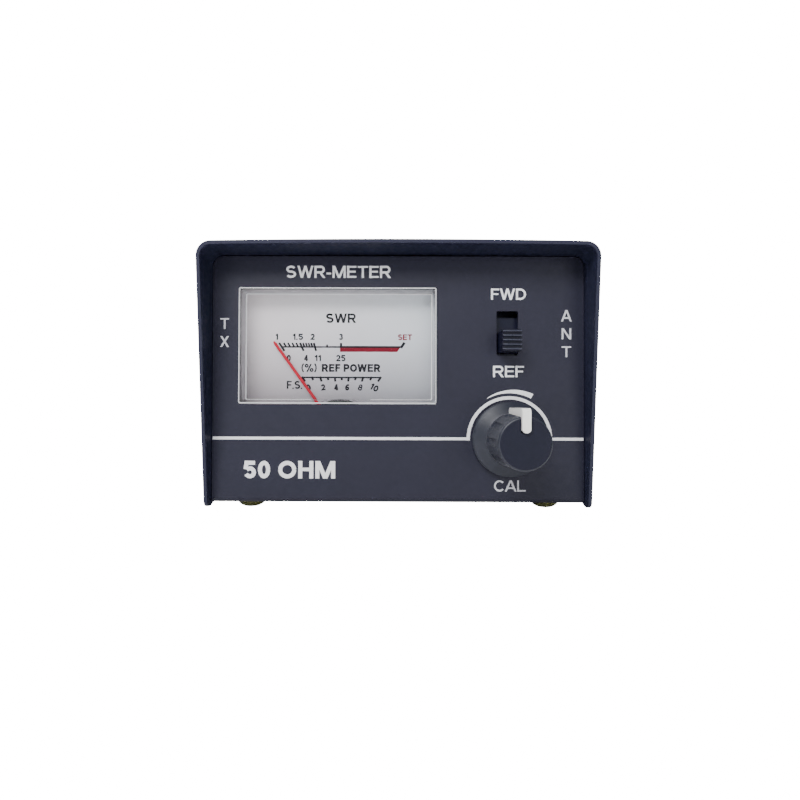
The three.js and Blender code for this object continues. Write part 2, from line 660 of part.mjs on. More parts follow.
const atSwitch = { x: SLOT.x, z: SLOT.z };
const leverDown = { x: SLOT.x, z: SLOT.z - LEVER.travel / 2 };
piece("switch_frame", switchFrame(), zincSteel(), atSwitch);
piece("switch_base", switchBase(), blackPlastic(), atSwitch);
piece("switch_lever", switchLever(), blackPlastic(), leverDown);
piece("switch_contact", switchContact(), brass(), leverDown);
for (const [name, side] of [["upper", 1], ["lower", -1]]) {
  const nut = hexNut(STUD.nut, STUD.radius + GAP, [switchSeat, switchSeat + STUD.nutThick]);
  piece(`switch_nut_${name}`, nut, zincSteel(), {
    x: SLOT.x,
    z: SLOT.z + (side * SWITCH.holePitch) / 2,
  });
}

// ---- Calibration control --------------------------------------------------------------------
function potBushing() {
  const flange = rod(POT.radius, [POT.front, POT.front + POT.flange], 0, 0, FINE);
  const bush = rod(BUSH.radius, [-BUSH.front, POT.front + POT.flange / 2], 0, 0, FINE);
  return cut(join(flange, bush), rod(SHAFT.radius + FIT, around(0, REACH), 0, 0, FINE));
}

function potBody() {
  const front = POT.front + POT.flange + GAP;
  const can = rod(POT.radius, [front, POT.back], 0, 0, FINE);
  const hollow = rod(POT.radius - POT.wall, [0, POT.back - POT.wall], 0, 0, FINE);
  const mouth = box(around(0, POT_TONGUE.halfWidth + 2 * GAP), [0, POT_TONGUE.back + 2 * GAP],
    [-REACH, -POT.radius / 2]);
  return cut(can, hollow, mouth);
}

// The resistive track sits on a disc whose tongue comes out of the can with three solder tabs.
function potElement() {
  const { halfWidth, drop, front, back, tab, tabPitch } = POT_TONGUE;
  const disc = rod(POT.radius - POT.wall - 2 * GAP, [front, back], 0, 0, FINE);
  const tongue = box(around(0, halfWidth), [front, back], [-drop, -POT.radius / 2]);
  const tabHalf = 0.7;
  const tabs = [-1, 0, 1].map((step) => {
    const x = around(step * tabPitch, tabHalf);
    return box(x, [front + 2 * GAP, back - 2 * GAP], [-drop - tab, -drop + POT.wall]);
  });
  return cut(join(disc, tongue, ...tabs), rod(SHAFT.radius + 3 * GAP, [0, POT.back], 0, 0, FINE));
}

function potWiper() {
  const { collar, front, back, arm, reach, finger } = WIPER;
  const disc = rod(collar, [front, back], 0, 0, FINE);
  const blade = box(around(0, arm), [front, back], [0, reach]);
  const tipSpan = [(front + back) / 2, POT_TONGUE.front - GAP];
  const tip = box(around(0, finger), tipSpan, [reach - arm, reach]);
  return cut(join(disc, blade, tip), rod(SHAFT.radius + FIT, [0, POT.back], 0, 0, FINE));
}

function shaftSolid(room) {
  const whole = rod(SHAFT.radius + room, [-SHAFT.front - room, SHAFT.back], 0, 0, FINE);
  const flat = box(around(0, REACH), [-REACH, -SHAFT.flatBack], [-REACH, -SHAFT.flat - room]);
  return cut(whole, flat);
}

// The rib that shows the knob's position: up the fluted side and over the cap.
function markerSolid(room) {
  const half = MARKER.width / 2 + room;
  const crest = KNOB.body + MARKER.side + room;
  const front = -MARKER_FRONT - room;
  const sideSpan = [front, -MARKER.back + room];
  const side = box(around(0, half), sideSpan, [KNOB.body - MARKER.root - room, crest]);
  const capSpan = [front, -KNOB.cap + MARKER.capDepth + room];
  const cap = box(around(0, half), capSpan, [MARKER.tipRadius + half, crest]);
  const tip = rod(half, capSpan, 0, MARKER.tipRadius + half, COARSE);
  return join(side, cap, tip);
}

// A conical skirt, a fluted body and a flat cap with a bevelled edge.
function knobBody() {
  const { skirt, body, cap, gap, edge, flutes } = KNOB;
  const lip = gap + 1.3;
  const lipRound = 0.4;
  const coneEnd = gap + 5.2;
  const draft = 0.25;
  const nutCorner = 6.2;
  const sides = 40;
  const blank = turned([
    [0, -cap], [body - edge, -cap], [body, edge - cap], [body + draft, -coneEnd],
    [skirt - lipRound, -lip], [skirt, lipRound - lip], [skirt, -gap], [0, -gap],
  ], sides);
  const grooves = Array.from({ length: flutes }, (_, i) => {
    const angle = (i / flutes) * 2 * Math.PI;
    const reach = body + FLUTE.radius - FLUTE.depth;
    const groove = rod(FLUTE.radius, [-cap - SHEET, -FLUTE.end]);
    return groove.translate(reach * Math.cos(angle), 0, reach * Math.sin(angle));
  });
  const nutRoom = rod(nutCorner, [-gap - POT_NUT.thickness - lipRound, 0], 0, 0, FINE);
  const bushRoom = rod(BUSH.radius + 4 * GAP, [-BUSH.front - 6 * GAP, 0], 0, 0, FINE);
  return cut(blank, ...grooves, nutRoom, bushRoom, shaftSolid(GAP), markerSolid(GAP));
}

const atKnob = { x: KNOB.x, z: KNOB.z };
piece("pot_bushing", potBushing(), zincSteel(), atKnob);
piece("pot_body", potBody(), zincSteel(), atKnob);
piece("pot_element", potElement(), phenolic(), atKnob);
piece("pot_wiper", potWiper(), brass(), atKnob);
piece("pot_shaft", shaftSolid(0), zincSteel(), atKnob);
const potNut = hexNut(POT_NUT.flats, BUSH.radius + GAP, [-GAP - POT_NUT.thickness, -GAP]);
piece("pot_nut", potNut, nickel(), atKnob);
piece("knob", knobBody(), blackPlastic(), atKnob);
piece("knob_marker", markerSolid(0), whitePlastic(), atKnob);

// ---- Coaxial sockets ------------------------------------------------------------------------
const socketFace = CASE.depth + GAP;
const socketEnd = socketFace + SOCKET.flangeThick + SOCKET.length;
const insulatorFace = socketEnd - SOCKET_HOLE.recess;
const contactRadius = SOCKET_HOLE.pin + CENTRE.wall;

function socketShell() {
  const { flange, flangeThick, corner, thread } = SOCKET;
  const square = plate(roundedRect(flange, flange, corner), [socketFace, socketFace + flangeThick]);
  const barrel = rod(thread, [socketFace + flangeThick / 2, socketEnd], 0, 0, FINE);
  const half = SOCKET_HOLE.pitch / 2;
  const holes = [-half, half].flatMap((x) => [-half, half].map((z) => {
    return rod(SOCKET_HOLE.screw, [CASE.depth, socketEnd], x, z);
  }));
  const notchSpan = [socketEnd - NOTCH.depth, REACH];
  const level = box(around(0, REACH), notchSpan, around(0, NOTCH.half));
  const upright = box(around(0, NOTCH.half), notchSpan, around(0, REACH));
  const bore = rod(SOCKET_HOLE.bore, [0, REACH], 0, 0, FINE);
  return cut(join(square, barrel), ...holes, bore, level, upright);
}

function socketInsulator() {
  const body = rod(SOCKET_HOLE.bore - FIT, [INSULATOR.inner, insulatorFace], 0, 0, FINE);
  return cut(body, rod(contactRadius + FIT, around(0, REACH)));
}

// The centre contact is a slotted tube in front and a solder pin behind.
function socketContact() {
  const tubeBack = INSULATOR.inner + SHEET;
  const boreBack = tubeBack + SHEET;
  const pinBack = BOARD.front - CENTRE.tail;
  const body = turned([
    [0, pinBack], [CENTRE.pin, pinBack], [CENTRE.pin, INSULATOR.inner - GAP], [contactRadius, tubeBack],
    [contactRadius, insulatorFace], [SOCKET_HOLE.pin, insulatorFace], [SOCKET_HOLE.pin, boreBack],
    [0, boreBack],
  ], COARSE);
  const slitSpan = [insulatorFace - CENTRE.slitDepth, REACH];
  return cut(body, box(around(0, CENTRE.slit), slitSpan, around(0, REACH)));
}

for (const [name, side] of [["tx", -1], ["ant", 1]]) {
  const place = { x: side * SOCKET.x, z: SOCKET.z };
  piece(`${name}_socket_shell`, socketShell(), nickel(), place);
  piece(`${name}_socket_insulator`, socketInsulator(), whitePlastic(), place);
  piece(`${name}_socket_contact`, socketContact(), brass(), place);
  socketScrewPlaces(side * SOCKET.x).forEach(([x, z], i) => {
    const screw = panScrew(SOCKET_SCREW.radius, SOCKET_SCREW.length);
    piece(`${name}_socket_screw_${i + 1}`, screw, zincSteel(), {
      x,
      y: socketFace + SOCKET.flangeThick + GAP,
      z,
      turn: Math.PI,
    });
  });
}

// ---- Sensing board and wires ----------------------------------------------------------------
function senseBoard() {
  const outline = roundedRect(BOARD.width, BOARD.height, BOARD.corner, 0, SOCKET.z);
  const holes = [-1, 1].map((side) => rod(CENTRE.pin + GAP, [0, REACH], side * SOCKET.x, SOCKET.z));
  return cut(plate(outline, [BOARD.front, BOARD.front + BOARD.thickness]), ...holes);
}

// A small glass diode: its body lies along X and both leads bend back to the board.
function diode() {
  const { radius, half, lead, reach, lift } = DIODE;
  const body = rod(radius, around(0, half)).rotateZ(Math.PI / 2);
  const wire = rod(lead, around(0, reach), 0, 0, 8).rotateZ(Math.PI / 2);
  const legs = [-1, 1].map((side) => rod(lead, [-lead, lift], side * (reach - lead), 0, 8));
  return join(body, wire, ...legs).translate(0, -lift, 0);
}

function wire(route) {
  const points = route.map(([x, y, z]) => new THREE.Vector3(x, y, z));
  const section = new THREE.Shape();
  section.absarc(0, 0, WIRE.radius, 0, 2 * Math.PI);
  const curve = new THREE.CatmullRomCurve3(points);
  const steps = WIRE.steps * (points.length - 1);
  return new THREE.ExtrudeGeometry(section, {
    extrudePath: curve, steps, curveSegments: WIRE.sides / 2, bevelEnabled: false,
  });
}

piece("sense_board", senseBoard(), phenolic());
for (const [name, side] of [["forward", -1], ["reflected", 1]]) {
  const place = { x: side * DIODE.x, y: BOARD.front - GAP, z: SOCKET.z - DIODE.drop };
  piece(`${name}_diode`, diode(), amberGlass(), place);
}

// The routes of the hookup wires, each from the board or the meter to a solder tab in front.
const endRoom = WIRE.radius + 3 * GAP; // how far a wire's end stays from its solder point
const boardFront = BOARD.front - endRoom;
const boardLow = SOCKET.z - 10;
const wireFloor = 5.5;
const switchTab = SWITCH.back + SWITCH.tabs + endRoom;
const potTab = KNOB.z - POT_TONGUE.drop - 0.6;
piece("forward_wire", wire([
  [-16, boardFront, boardLow], [-16, boardFront - 4, boardLow - 6], [-8, boardFront - 6, wireFloor],
  [18, 34, wireFloor], [44, 26, wireFloor + 2], [44.5, 17, SLOT.z - 14],
  [SLOT.x + 5.3, switchTab, SLOT.z + LEVER.travel], [SLOT.x + 0.8, switchTab, SLOT.z + LEVER.travel],
]), insulation(0xb03030));
piece("reflected_wire", wire([
  [16, boardFront, boardLow], [16, boardFront - 4, boardLow - 6], [20, boardFront - 8, wireFloor + 5],
  [30, 36, wireFloor + 5], [37, 26, wireFloor + 7], [37, 18, SLOT.z - 20],
  [SLOT.x + 4.8, switchTab, SLOT.z - LEVER.travel], [SLOT.x + 0.8, switchTab, SLOT.z - LEVER.travel],
]), insulation(0x2f5fa8));
piece("meter_wire", wire([
  [PIVOT.x + TERMINAL.spread, METER.back + TERMINAL.reach + SHEET, TERMINAL.z],
  [PIVOT.x + TERMINAL.spread + 5, METER.back + TERMINAL.reach, TERMINAL.z - 8],
  [14, METER.back - 1, 26], [17, METER.back - 6, 10], [21, 13, potTab + 1.5],
  [KNOB.x - 5, POT_TONGUE.front + 0.4, potTab + 0.6],
]), insulation(0xd8b23a));

export default group;
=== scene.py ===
import json
from math import cos, hypot, pi, radians, sin, tan

import bmesh
import bpy
from mathutils import Matrix, Vector
from mathutils.geometry import delaunay_2d_cdt


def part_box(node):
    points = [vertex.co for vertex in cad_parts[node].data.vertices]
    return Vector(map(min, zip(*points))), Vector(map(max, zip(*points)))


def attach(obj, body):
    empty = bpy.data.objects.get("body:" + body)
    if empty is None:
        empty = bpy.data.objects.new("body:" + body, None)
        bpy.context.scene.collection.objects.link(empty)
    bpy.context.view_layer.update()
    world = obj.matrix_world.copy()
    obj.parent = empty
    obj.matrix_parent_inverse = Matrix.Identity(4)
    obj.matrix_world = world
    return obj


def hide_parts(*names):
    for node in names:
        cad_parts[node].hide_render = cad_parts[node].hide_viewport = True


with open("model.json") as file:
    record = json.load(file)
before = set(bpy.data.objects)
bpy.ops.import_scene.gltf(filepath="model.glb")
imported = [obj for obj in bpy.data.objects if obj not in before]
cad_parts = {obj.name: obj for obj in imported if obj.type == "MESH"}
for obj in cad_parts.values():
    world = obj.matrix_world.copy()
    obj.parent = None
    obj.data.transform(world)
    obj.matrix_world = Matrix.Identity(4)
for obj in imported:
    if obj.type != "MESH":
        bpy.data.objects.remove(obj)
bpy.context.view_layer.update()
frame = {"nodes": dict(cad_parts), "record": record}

MM = 0.001


def middle(box):
    """The centre of a box as x, y and z."""
    return [(low + high) / 2 for low, high in zip(*box)]


def extent(box):
    """The size of a box along x, y and z."""
    return [high - low for low, high in zip(*box)]


# ---- Places taken from the frame, in metres ----
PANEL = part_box("chassis")
PANEL_Y = PANEL[0].y            # the front panel's face
BASE_Z = PANEL[0].z             # the underside of the case
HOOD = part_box("top_cover")
HALF_WIDTH = HOOD[1].x
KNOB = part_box("knob")
KNOB_X, _, KNOB_Z = middle(KNOB)
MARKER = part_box("knob_marker")
PIVOT_X, _, PIVOT_Z = middle(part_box("yoke_ring"))
SLOT_X, _, SLOT_Z = middle(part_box("switch_frame"))


def panel_z(value):
    """Height above the underside of the case, given in millimetres."""
    return BASE_Z + value * MM


# ---- Sizes, in metres ----
SHEET = 1.0 * MM
WINDOW = {"x": -15.9 * MM, "z": panel_z(41.2), "width": 51.9 * MM, "height": 30.5 * MM, "corner": 0.4 * MM}
SLOT = {"width": 5.65 * MM, "height": 11.7 * MM, "corner": 0.5 * MM}
SOCKET = {"thread": 7.9 * MM, "pitch": 1.058 * MM, "bore": 6.35 * MM, "flange": 25.4 * MM,
          "screws": 18.26 * MM}
SCREW_HOLE = 1.6 * MM           # the radius of the holes for the screws of the cover and the sockets
HUB_POCKET = 10.3 * MM          # the radius of the room left for the hub cover
PRINT = 0.03 * MM               # the thickness of a layer of ink
INK_SINK = 0.002 * MM           # how far a layer of ink goes into its surface
PANEL_PRINT_Y = PANEL_Y - PRINT + INK_SINK
DIAL_PRINT_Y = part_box("dial_plate")[0].y - PRINT + INK_SINK
MARKER_HALF = 1.0 * MM          # half of the thickness of the knob's marker
FACING = 0.95                   # how far a face's normal points along Y when it counts as facing the front
WELD = 1e-7                     # vertices that are nearer than this become one
SIDES = {"left": -1, "right": 1}
CORNERS = [(side, end) for side in SIDES for end in ("front", "rear")]


# ---- Mesh tools ----
def add_object(name, data):
    """Puts an object that holds a mesh, a lamp or a camera into the scene."""
    item = bpy.data.objects.new(name, data)
    bpy.context.scene.collection.objects.link(item)
    return item


def from_faces(name, vertices, faces):
    mesh = bpy.data.meshes.new(name)
    mesh.from_pydata([tuple(vertex) for vertex in vertices], [], faces)
    mesh.validate()
    tidy = bmesh.new()
    tidy.from_mesh(mesh)
    bmesh.ops.remove_doubles(tidy, verts=tidy.verts, dist=WELD)
    bmesh.ops.recalc_face_normals(tidy, faces=tidy.faces)
    tidy.to_mesh(mesh)
    tidy.free()
    return add_object(name, mesh)


def along_axis(axis, a, b, depth):
    """A point at a depth along the axis, with a and b along the other two."""
    return {"X": (depth, a, b), "Y": (a, depth, b), "Z": (a, b, depth)}[axis]


def band_faces(rows, columns, closed=False):
    """Quads between rings of as many vertices each. Closed, the last ring meets the first."""
    faces = []
    for row in range(rows if closed else rows - 1):
        here = row * columns
        after = (row + 1) % rows * columns
        for i in range(columns):
            j = (i + 1) % columns
            faces.append([here + i, here + j, after + j, after + i])
    return faces


def stacked(name, rings, axis="Y"):
    """A solid through outlines of as many points each, given with their depths along axis."""
    count = len(rings[0][0])
    vertices = [along_axis(axis, a, b, depth) for outline, depth in rings for a, b in outline]
    last = (len(rings) - 1) * count
    ends = [list(range(count)), list(range(last, last + count))]
    return from_faces(name, vertices, ends + band_faces(len(rings), count))


def prism(name, outline, low, high, axis="Y"):
    """A flat outline made solid from low to high along axis. It lies in the other two axes."""
    return stacked(name, [(outline, low), (outline, high)], axis)


def tool(outline, low, high, axis="Y"):
    """A prism that a boolean uses up."""
    return prism("tool", outline, low, high, axis)


def round_tool(x, z, radius, low, high):
    return tool(circle(x, z, radius), low, high)


def turned(name, profile, steps=64, centre=(0, 0, 0), axis="Y"):
    """A profile of (radius, along) points turned about axis. It starts and ends on the axis or closes."""
    closed = profile[0] == profile[-1]
    rows = profile[:-1] if closed else profile
    vertices = []
    for radius, along in rows:
        for a, b in circle(0, 0, radius, steps):
            vertices.append(Vector(along_axis(axis, a, b, along)) + Vector(centre))
    return from_faces(name, vertices, band_faces(len(rows), steps, closed))


def bow(x, z, wide, tall, start, end, steps=14):
    """Points along part of an ellipse, with its angles in degrees."""
    angles = [radians(start + (end - start) * i / steps) for i in range(steps + 1)]
    return [(x + wide * cos(a), z + tall * sin(a)) for a in angles]


def arc(x, z, radius, start, end, steps):
    return bow(x, z, radius, radius, start, end, steps)


def rounded_rect(x, z, width, height, radius, steps=8):
    right, left = x + width / 2 - radius, x - width / 2 + radius
    top, low = z + height / 2 - radius, z - height / 2 + radius
    return (arc(right, low, radius, -90, 0, steps) + arc(right, top, radius, 0, 90, steps)
            + arc(left, top, radius, 90, 180, steps) + arc(left, low, radius, 180, 270, steps))


def window_outline(grow=0.0, corner=WINDOW["corner"]):
    return rounded_rect(WINDOW["x"], WINDOW["z"], WINDOW["width"] + grow, WINDOW["height"] + grow, corner)


def circle(x, z, radius, steps=48):
    return arc(x, z, radius, 0, 360 * (steps - 1) / steps, steps - 1)


def bar(x0, x1, z0, z1):
    return [(x0, z0), (x1, z0), (x1, z1), (x0, z1)]


def boolean(piece, tools, operation="DIFFERENCE"):
    """Cuts the tools out of a piece, or joins them to it, and applies the result."""
    for cutter in tools:
        modifier = piece.modifiers.new("boolean", "BOOLEAN")
        modifier.object = cutter
        modifier.operation = operation
        modifier.solver = "EXACT"
    bake(piece)
    for cutter in tools:
        mesh = cutter.data
        bpy.data.objects.remove(cutter)
        bpy.data.meshes.remove(mesh)


def bake(piece):
    """Applies every modifier to the mesh."""
    depsgraph = bpy.context.evaluated_depsgraph_get()
    mesh = bpy.data.meshes.new_from_object(piece.evaluated_get(depsgraph))
    piece.modifiers.clear()
    piece.data = mesh


def add_bevel(piece, width, segments, angle):
    modifier = piece.modifiers.new("bevel", "BEVEL")
    modifier.width = width
    modifier.segments = segments
    modifier.limit_method = "ANGLE"
    modifier.angle_limit = radians(angle)
    return modifier


def soften(piece, width, segments=2):
    """Rounds the sharp edges and shades the rest smoothly."""
    bevel = add_bevel(piece, width, segments, 35)
    bevel.use_clamp_overlap = True
    bevel.miter_outer = "MITER_ARC"
    bake(piece)
    shade(piece, 40)
    flatten = piece.modifiers.new("flatten", "WEIGHTED_NORMAL")
    flatten.keep_sharp = True
    bake(piece)
    return piece


def shade(piece, angle):
    """Shades a piece smoothly, apart from edges that are sharper than the angle in degrees."""
    piece.data.shade_smooth()
    piece.data.set_sharp_from_angle(angle=radians(angle))
    return piece


def move(piece, place, angle, axis, spin=0.0):
    """Turns a piece about the origin, after a spin about Y, and puts it in its place."""
    turn = Matrix.Rotation(angle, 4, axis) @ Matrix.Rotation(spin, 4, "Y")
    piece.data.transform(Matrix.Translation(place) @ turn)


def merge(name, parts):
    """Joins the meshes of several objects into one object."""
    whole = bmesh.new()
    for part in parts:
        whole.from_mesh(part.data)
        bpy.data.objects.remove(part)
    mesh = bpy.data.meshes.new(name)
    whole.to_mesh(mesh)
    whole.free()
    return add_object(name, mesh)


def fit(piece, slot, *replaces, body="root", look=None):
    """Gives a piece the look of its slot or another one, puts it on its body, and hides the nodes it stands
    for.
    """
    piece.data.materials.clear()
    piece.data.materials.append((look or LOOKS[slot]).material)
    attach(piece, body)
    if replaces:
        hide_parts(*replaces)


def dress_faces(piece, looks, choose):
    """Gives faces materials of their own: choose counts them from 1, and 0 is the piece's own."""
    for look in looks:
        piece.data.materials.append(look.material)
    for face in piece.data.polygons:
        face.material_index = choose(face)


# ---- Camera ----
CAMERA_PLACE = (1.03 * MM, PANEL_Y - 123.5 * MM, panel_z(25.67))
CAMERA_TURN = (90.606, -0.181, 0.223)       # in degrees
SENSOR, FOCAL_LENGTH = 36.0, 21.16          # in millimetres
CLIP_START, CLIP_END = 0.005, 20.0          # in metres


def make_camera():
    data = bpy.data.cameras.new("camera")
    data.sensor_width = SENSOR
    data.lens = FOCAL_LENGTH
    data.clip_start, data.clip_end = CLIP_START, CLIP_END
    camera = add_object("camera", data)
    camera.location = CAMERA_PLACE
    camera.rotation_euler = [radians(angle) for angle in CAMERA_TURN]
    bpy.context.scene.camera = camera


make_camera()


# ---- Materials ----
NOISE_RANGE = (0.3, 0.7)        # where most of a noise's values lie


def feed(tree, node, **inputs):
    """Sets a node's inputs, each by its name with _ for a space, to a value or a linked socket."""
    for name, value in inputs.items():
        socket = node.inputs[name.replace("_", " ")]
        if isinstance(value, bpy.types.NodeSocket):
            tree.links.new(value, socket)
        else:
            socket.default_value = value


def add_node(tree, kind, **inputs):
    node = tree.nodes.new("ShaderNode" + kind)
    feed(tree, node, **inputs)
    return node


def mix_by_ray(tree, ray, surface, other):
    """Keeps a surface, but shows the other one to one kind of ray."""
    path = add_node(tree, "LightPath")
    choice = add_node(tree, "MixShader")
    for source, socket in zip((path.outputs[ray], surface, other), choice.inputs):
        tree.links.new(source, socket)
    return choice.outputs["Shader"]


class Look:
    """A node material that is built up step by step on the object's own coordinates."""

    def __init__(self, name, color, roughness, metallic=0.0):
        self.material = bpy.data.materials.new(name)
        self.material.use_nodes = True
        self.tree = self.material.node_tree
        self.shader = self.tree.nodes["Principled BSDF"]
        self.set(Base_Color=(*color, 1), Roughness=roughness, Metallic=metallic)
        self.color = color
        self.roughness = roughness
        self.place = self.add("TexCoord").outputs["Object"]
        self.normal = None

    def set(self, **inputs):
        feed(self.tree, self.shader, **inputs)
        return self

    def add(self, kind, **inputs):
        return add_node(self.tree, kind, **inputs)

    def stretch(self, scale):
        self.place = self.add("Mapping", Scale=scale, Vector=self.place).outputs["Vector"]
        return self

    def noise(self, size, detail=3.0):
        node = self.add("TexNoise", Scale=1 / size, Detail=detail, Roughness=0.6, Vector=self.place)
        return node.outputs["Fac"]

    def ramp(self, source, colors, places=(0.0, 1.0)):
        """Turns a value into a colour between two."""
        node = self.add("ValToRGB", Fac=source)
        for stop, color, place in zip(node.color_ramp.elements, colors, places):
            stop.position = place
            stop.color = (*color, 1)
        return node.outputs["Color"]

    def mottle(self, size, spread):
        """Lets the colour drift lighter and darker over patches of this size."""
        drifted = [[min(1, c * share) for c in self.color] for share in (1 - spread, 1 + spread)]
        return self.set(Base_Color=self.ramp(self.noise(size, 4.0), drifted, NOISE_RANGE))

    def fade(self, axis, span, first, last):
        """Tints the colour from first to last along one of the object's own axes."""
        parts = self.add("SeparateXYZ", Vector=self.place)
        share = self.add("MapRange", From_Min=span[0], From_Max=span[1], Value=parts.outputs[axis])
        tint = self.add("Mix")
        tint.data_type = "RGBA"
        tint.blend_type = "MULTIPLY"
        plain = self.shader.inputs["Base Color"].links[0].from_socket
        feed(self.tree, tint, Factor=1.0, A=plain, B=self.ramp(share.outputs["Result"], (first, last)))
        return self.set(Base_Color=tint.outputs["Result"])

    def uneven_gloss(self, size, spread):
        low, high = NOISE_RANGE
        share = self.add("MapRange", From_Min=low, From_Max=high, To_Min=self.roughness - spread,
                         To_Max=self.roughness + spread, Value=self.noise(size))
        return self.set(Roughness=share.outputs["Result"])

    def bump(self, size, depth):
        node = self.add("Bump", Strength=1.0, Distance=depth, Height=self.noise(size))
        if self.normal is not None:
            feed(self.tree, node, Normal=self.normal)
        self.normal = node.outputs["Normal"]
        return self.set(Normal=self.normal)

    def show(self, surface):
        feed(self.tree, self.tree.nodes["Material Output"], Surface=surface)
        return self

    def clear_to_lamps(self):
        """Lets lamplight straight through, so that what lies behind the glass is lit evenly."""
        straight = self.add("BsdfTransparent").outputs["BSDF"]
        surface = self.shader.outputs["BSDF"]
        for ray in ("Is Shadow Ray", "Is Diffuse Ray"):
            surface = mix_by_ray(self.tree, ray, surface, straight)
        return self.show(surface)


def powder_coat(name, color, roughness=0.5):
    look = Look(name, color, roughness).mottle(9 * MM, 0.06).uneven_gloss(1.4 * MM, 0.07)
    look.bump(0.9 * MM, 0.02 * MM).bump(0.28 * MM, 0.008 * MM)
    return look.set(Specular_IOR_Level=0.3)


def moulding(name, color, roughness=0.42, shine=0.5):
    look = Look(name, color, roughness).mottle(4 * MM, 0.08).uneven_gloss(0.8 * MM, 0.06)
    return look.bump(0.18 * MM, 0.005 * MM).set(Specular_IOR_Level=shine)


def metal(name, color, roughness=0.28, grain=(1, 1, 1)):
    look = Look(name, color, roughness, 1.0).stretch(grain).mottle(2.5 * MM, 0.10)
    return look.uneven_gloss(0.6 * MM, 0.09).bump(0.12 * MM, 0.003 * MM)


def ink(name, color):
    look = Look(name, color, 0.5).mottle(1.2 * MM, 0.06).uneven_gloss(0.7 * MM, 0.06)
    return look.bump(0.2 * MM, 0.003 * MM).set(Specular_IOR_Level=0.1)


def laminate(name, color):
    look = Look(name, color, 0.6).stretch((1, 6, 1)).mottle(1.5 * MM, 0.22).uneven_gloss(1 * MM, 0.08)
    return look.bump(0.3 * MM, 0.01 * MM)


def foam(name, color):
    return Look(name, color, 0.95).mottle(0.6 * MM, 0.4).bump(0.5 * MM, 0.1 * MM)


def enamel(name, color):
    """Matt enamel with painted shade towards the foot of the dial and painted light towards its top, where
    the hood's shadow falls, and a painted tint of the light that is warmer at its left and cooler at its
    right.
    """
    look = Look(name, color, 0.6).mottle(14 * MM, 0.03)
    # Painted shade and light: dark at the dial's foot, brighter than the enamel at its top, where the hood's
    # shadow falls.
    look.fade("Z", (panel_z(27), panel_z(56)), (0.4, 0.385, 0.405), (1.1, 1.1, 1.1))
    # Painted tint of the light: warmer at the left, cooler at the right.
    look.fade("X", (-40 * MM, 8 * MM), (1.0, 0.93, 0.94), (0.9, 0.955, 1.0))
    return look.uneven_gloss(2 * MM, 0.05).bump(0.25 * MM, 0.004 * MM)


def acrylic(name):
    look = Look(name, (1.0, 1.0, 1.0), 0.02).uneven_gloss(6 * MM, 0.01).bump(3 * MM, 0.001 * MM)
    look.set(Transmission_Weight=1.0, IOR=1.49, Specular_IOR_Level=0.25)
    return look.clear_to_lamps()


def moulded_acrylic(name, color, roughness, spread, depth, **inputs):
    """Acrylic as it looks at a moulded edge, where it isn't clear."""
    look = Look(name, color, roughness).mottle(2 * MM, spread).uneven_gloss(0.5 * MM, 0.08)
    return look.bump(0.4 * MM, depth).set(**inputs).clear_to_lamps()


def bumper(name, color):
    look = Look(name, color, 0.22).mottle(3 * MM, 0.12).uneven_gloss(1 * MM, 0.05)
    return look.bump(0.8 * MM, 0.01 * MM).set(Transmission_Weight=0.55, IOR=1.48)


LOOKS = {
    "panel_paint": powder_coat("panel_powder_coat", (0.0155, 0.0155, 0.0305)),
    "cover_paint": powder_coat("hood_powder_coat", (0.0155, 0.0172, 0.039), 0.48),
    "black_foam": foam("foam", (0.02, 0.02, 0.02)),
    "dial_white": enamel("dial_enamel_painted_light", (0.83, 0.83, 0.85)),
    "black_plastic": moulding("black_moulding", (0.012, 0.012, 0.014), 0.5),
    "switch_plastic": moulding("switch_moulding", (0.0046, 0.0056, 0.019), 0.36, 0.25),
    "knob_plastic": moulding("knob_moulding", (0.018, 0.0205, 0.033)),
    "white_plastic": moulding("white_moulding", (0.97, 0.95, 0.9), 0.35),
    "insulator_plastic": moulding("dielectric", (0.74, 0.71, 0.64), 0.45),
    "brass": metal("brass", (0.62, 0.46, 0.19), 0.3),
    "steel": metal("zinc_plated_steel", (0.5, 0.5, 0.52), 0.34),
    "nickel": metal("nickel_plate", (0.62, 0.59, 0.54), 0.22),
    "magnet": metal("magnet_alloy", (0.13, 0.13, 0.14), 0.5),
    "copper": metal("copper_wire", (0.62, 0.27, 0.13), 0.35, (1, 8, 1)),
    "red_paint": ink("needle_paint", (0.42, 0.012, 0.03)),
    "phenolic": laminate("phenolic_board", (0.27, 0.13, 0.05)),
    "diode_glass": moulding("diode_body", (0.42, 0.13, 0.05), 0.12),
    "red_insulation": moulding("red_insulation", (0.5, 0.03, 0.03), 0.35),
    "blue_insulation": moulding("blue_insulation", (0.03, 0.11, 0.4), 0.35),
    "yellow_insulation": moulding("yellow_insulation", (0.68, 0.45, 0.04), 0.35),
    "clear_plastic": acrylic("clear_acrylic"),
    "urethane": bumper("urethane_bumper", (0.44, 0.44, 0.19)),
}
CLEAR_WALL = moulded_acrylic("clear_acrylic_wall", (0.45, 0.44, 0.47), 0.35, 0.04, 0.01 * MM,
                             Transmission_Weight=0.22, IOR=1.49)
# The edge's emission is a painted glow: it lights the window's chamfer and lip though they are no lamp.
CLEAR_EDGE_PAINTED_GLOW = moulded_acrylic("clear_acrylic_edge_painted_glow", (0.97, 0.97, 0.98), 0.3, 0.02, 0.005 * MM,
                             Emission_Color=(0.9, 0.92, 1, 1), Emission_Strength=0.12)
# Shaded and lit copies of the knob's plastic: the cap's darker one is painted shade, and the side's lighter
# one is painted light.
KNOB_CAP_PAINTED_SHADE = moulding("knob_cap_painted_shade", (0.0085, 0.0092, 0.021), 0.5, 0.22)
KNOB_SIDE_PAINTED_LIGHT = moulding("knob_side_painted_light", (0.044, 0.047, 0.062))
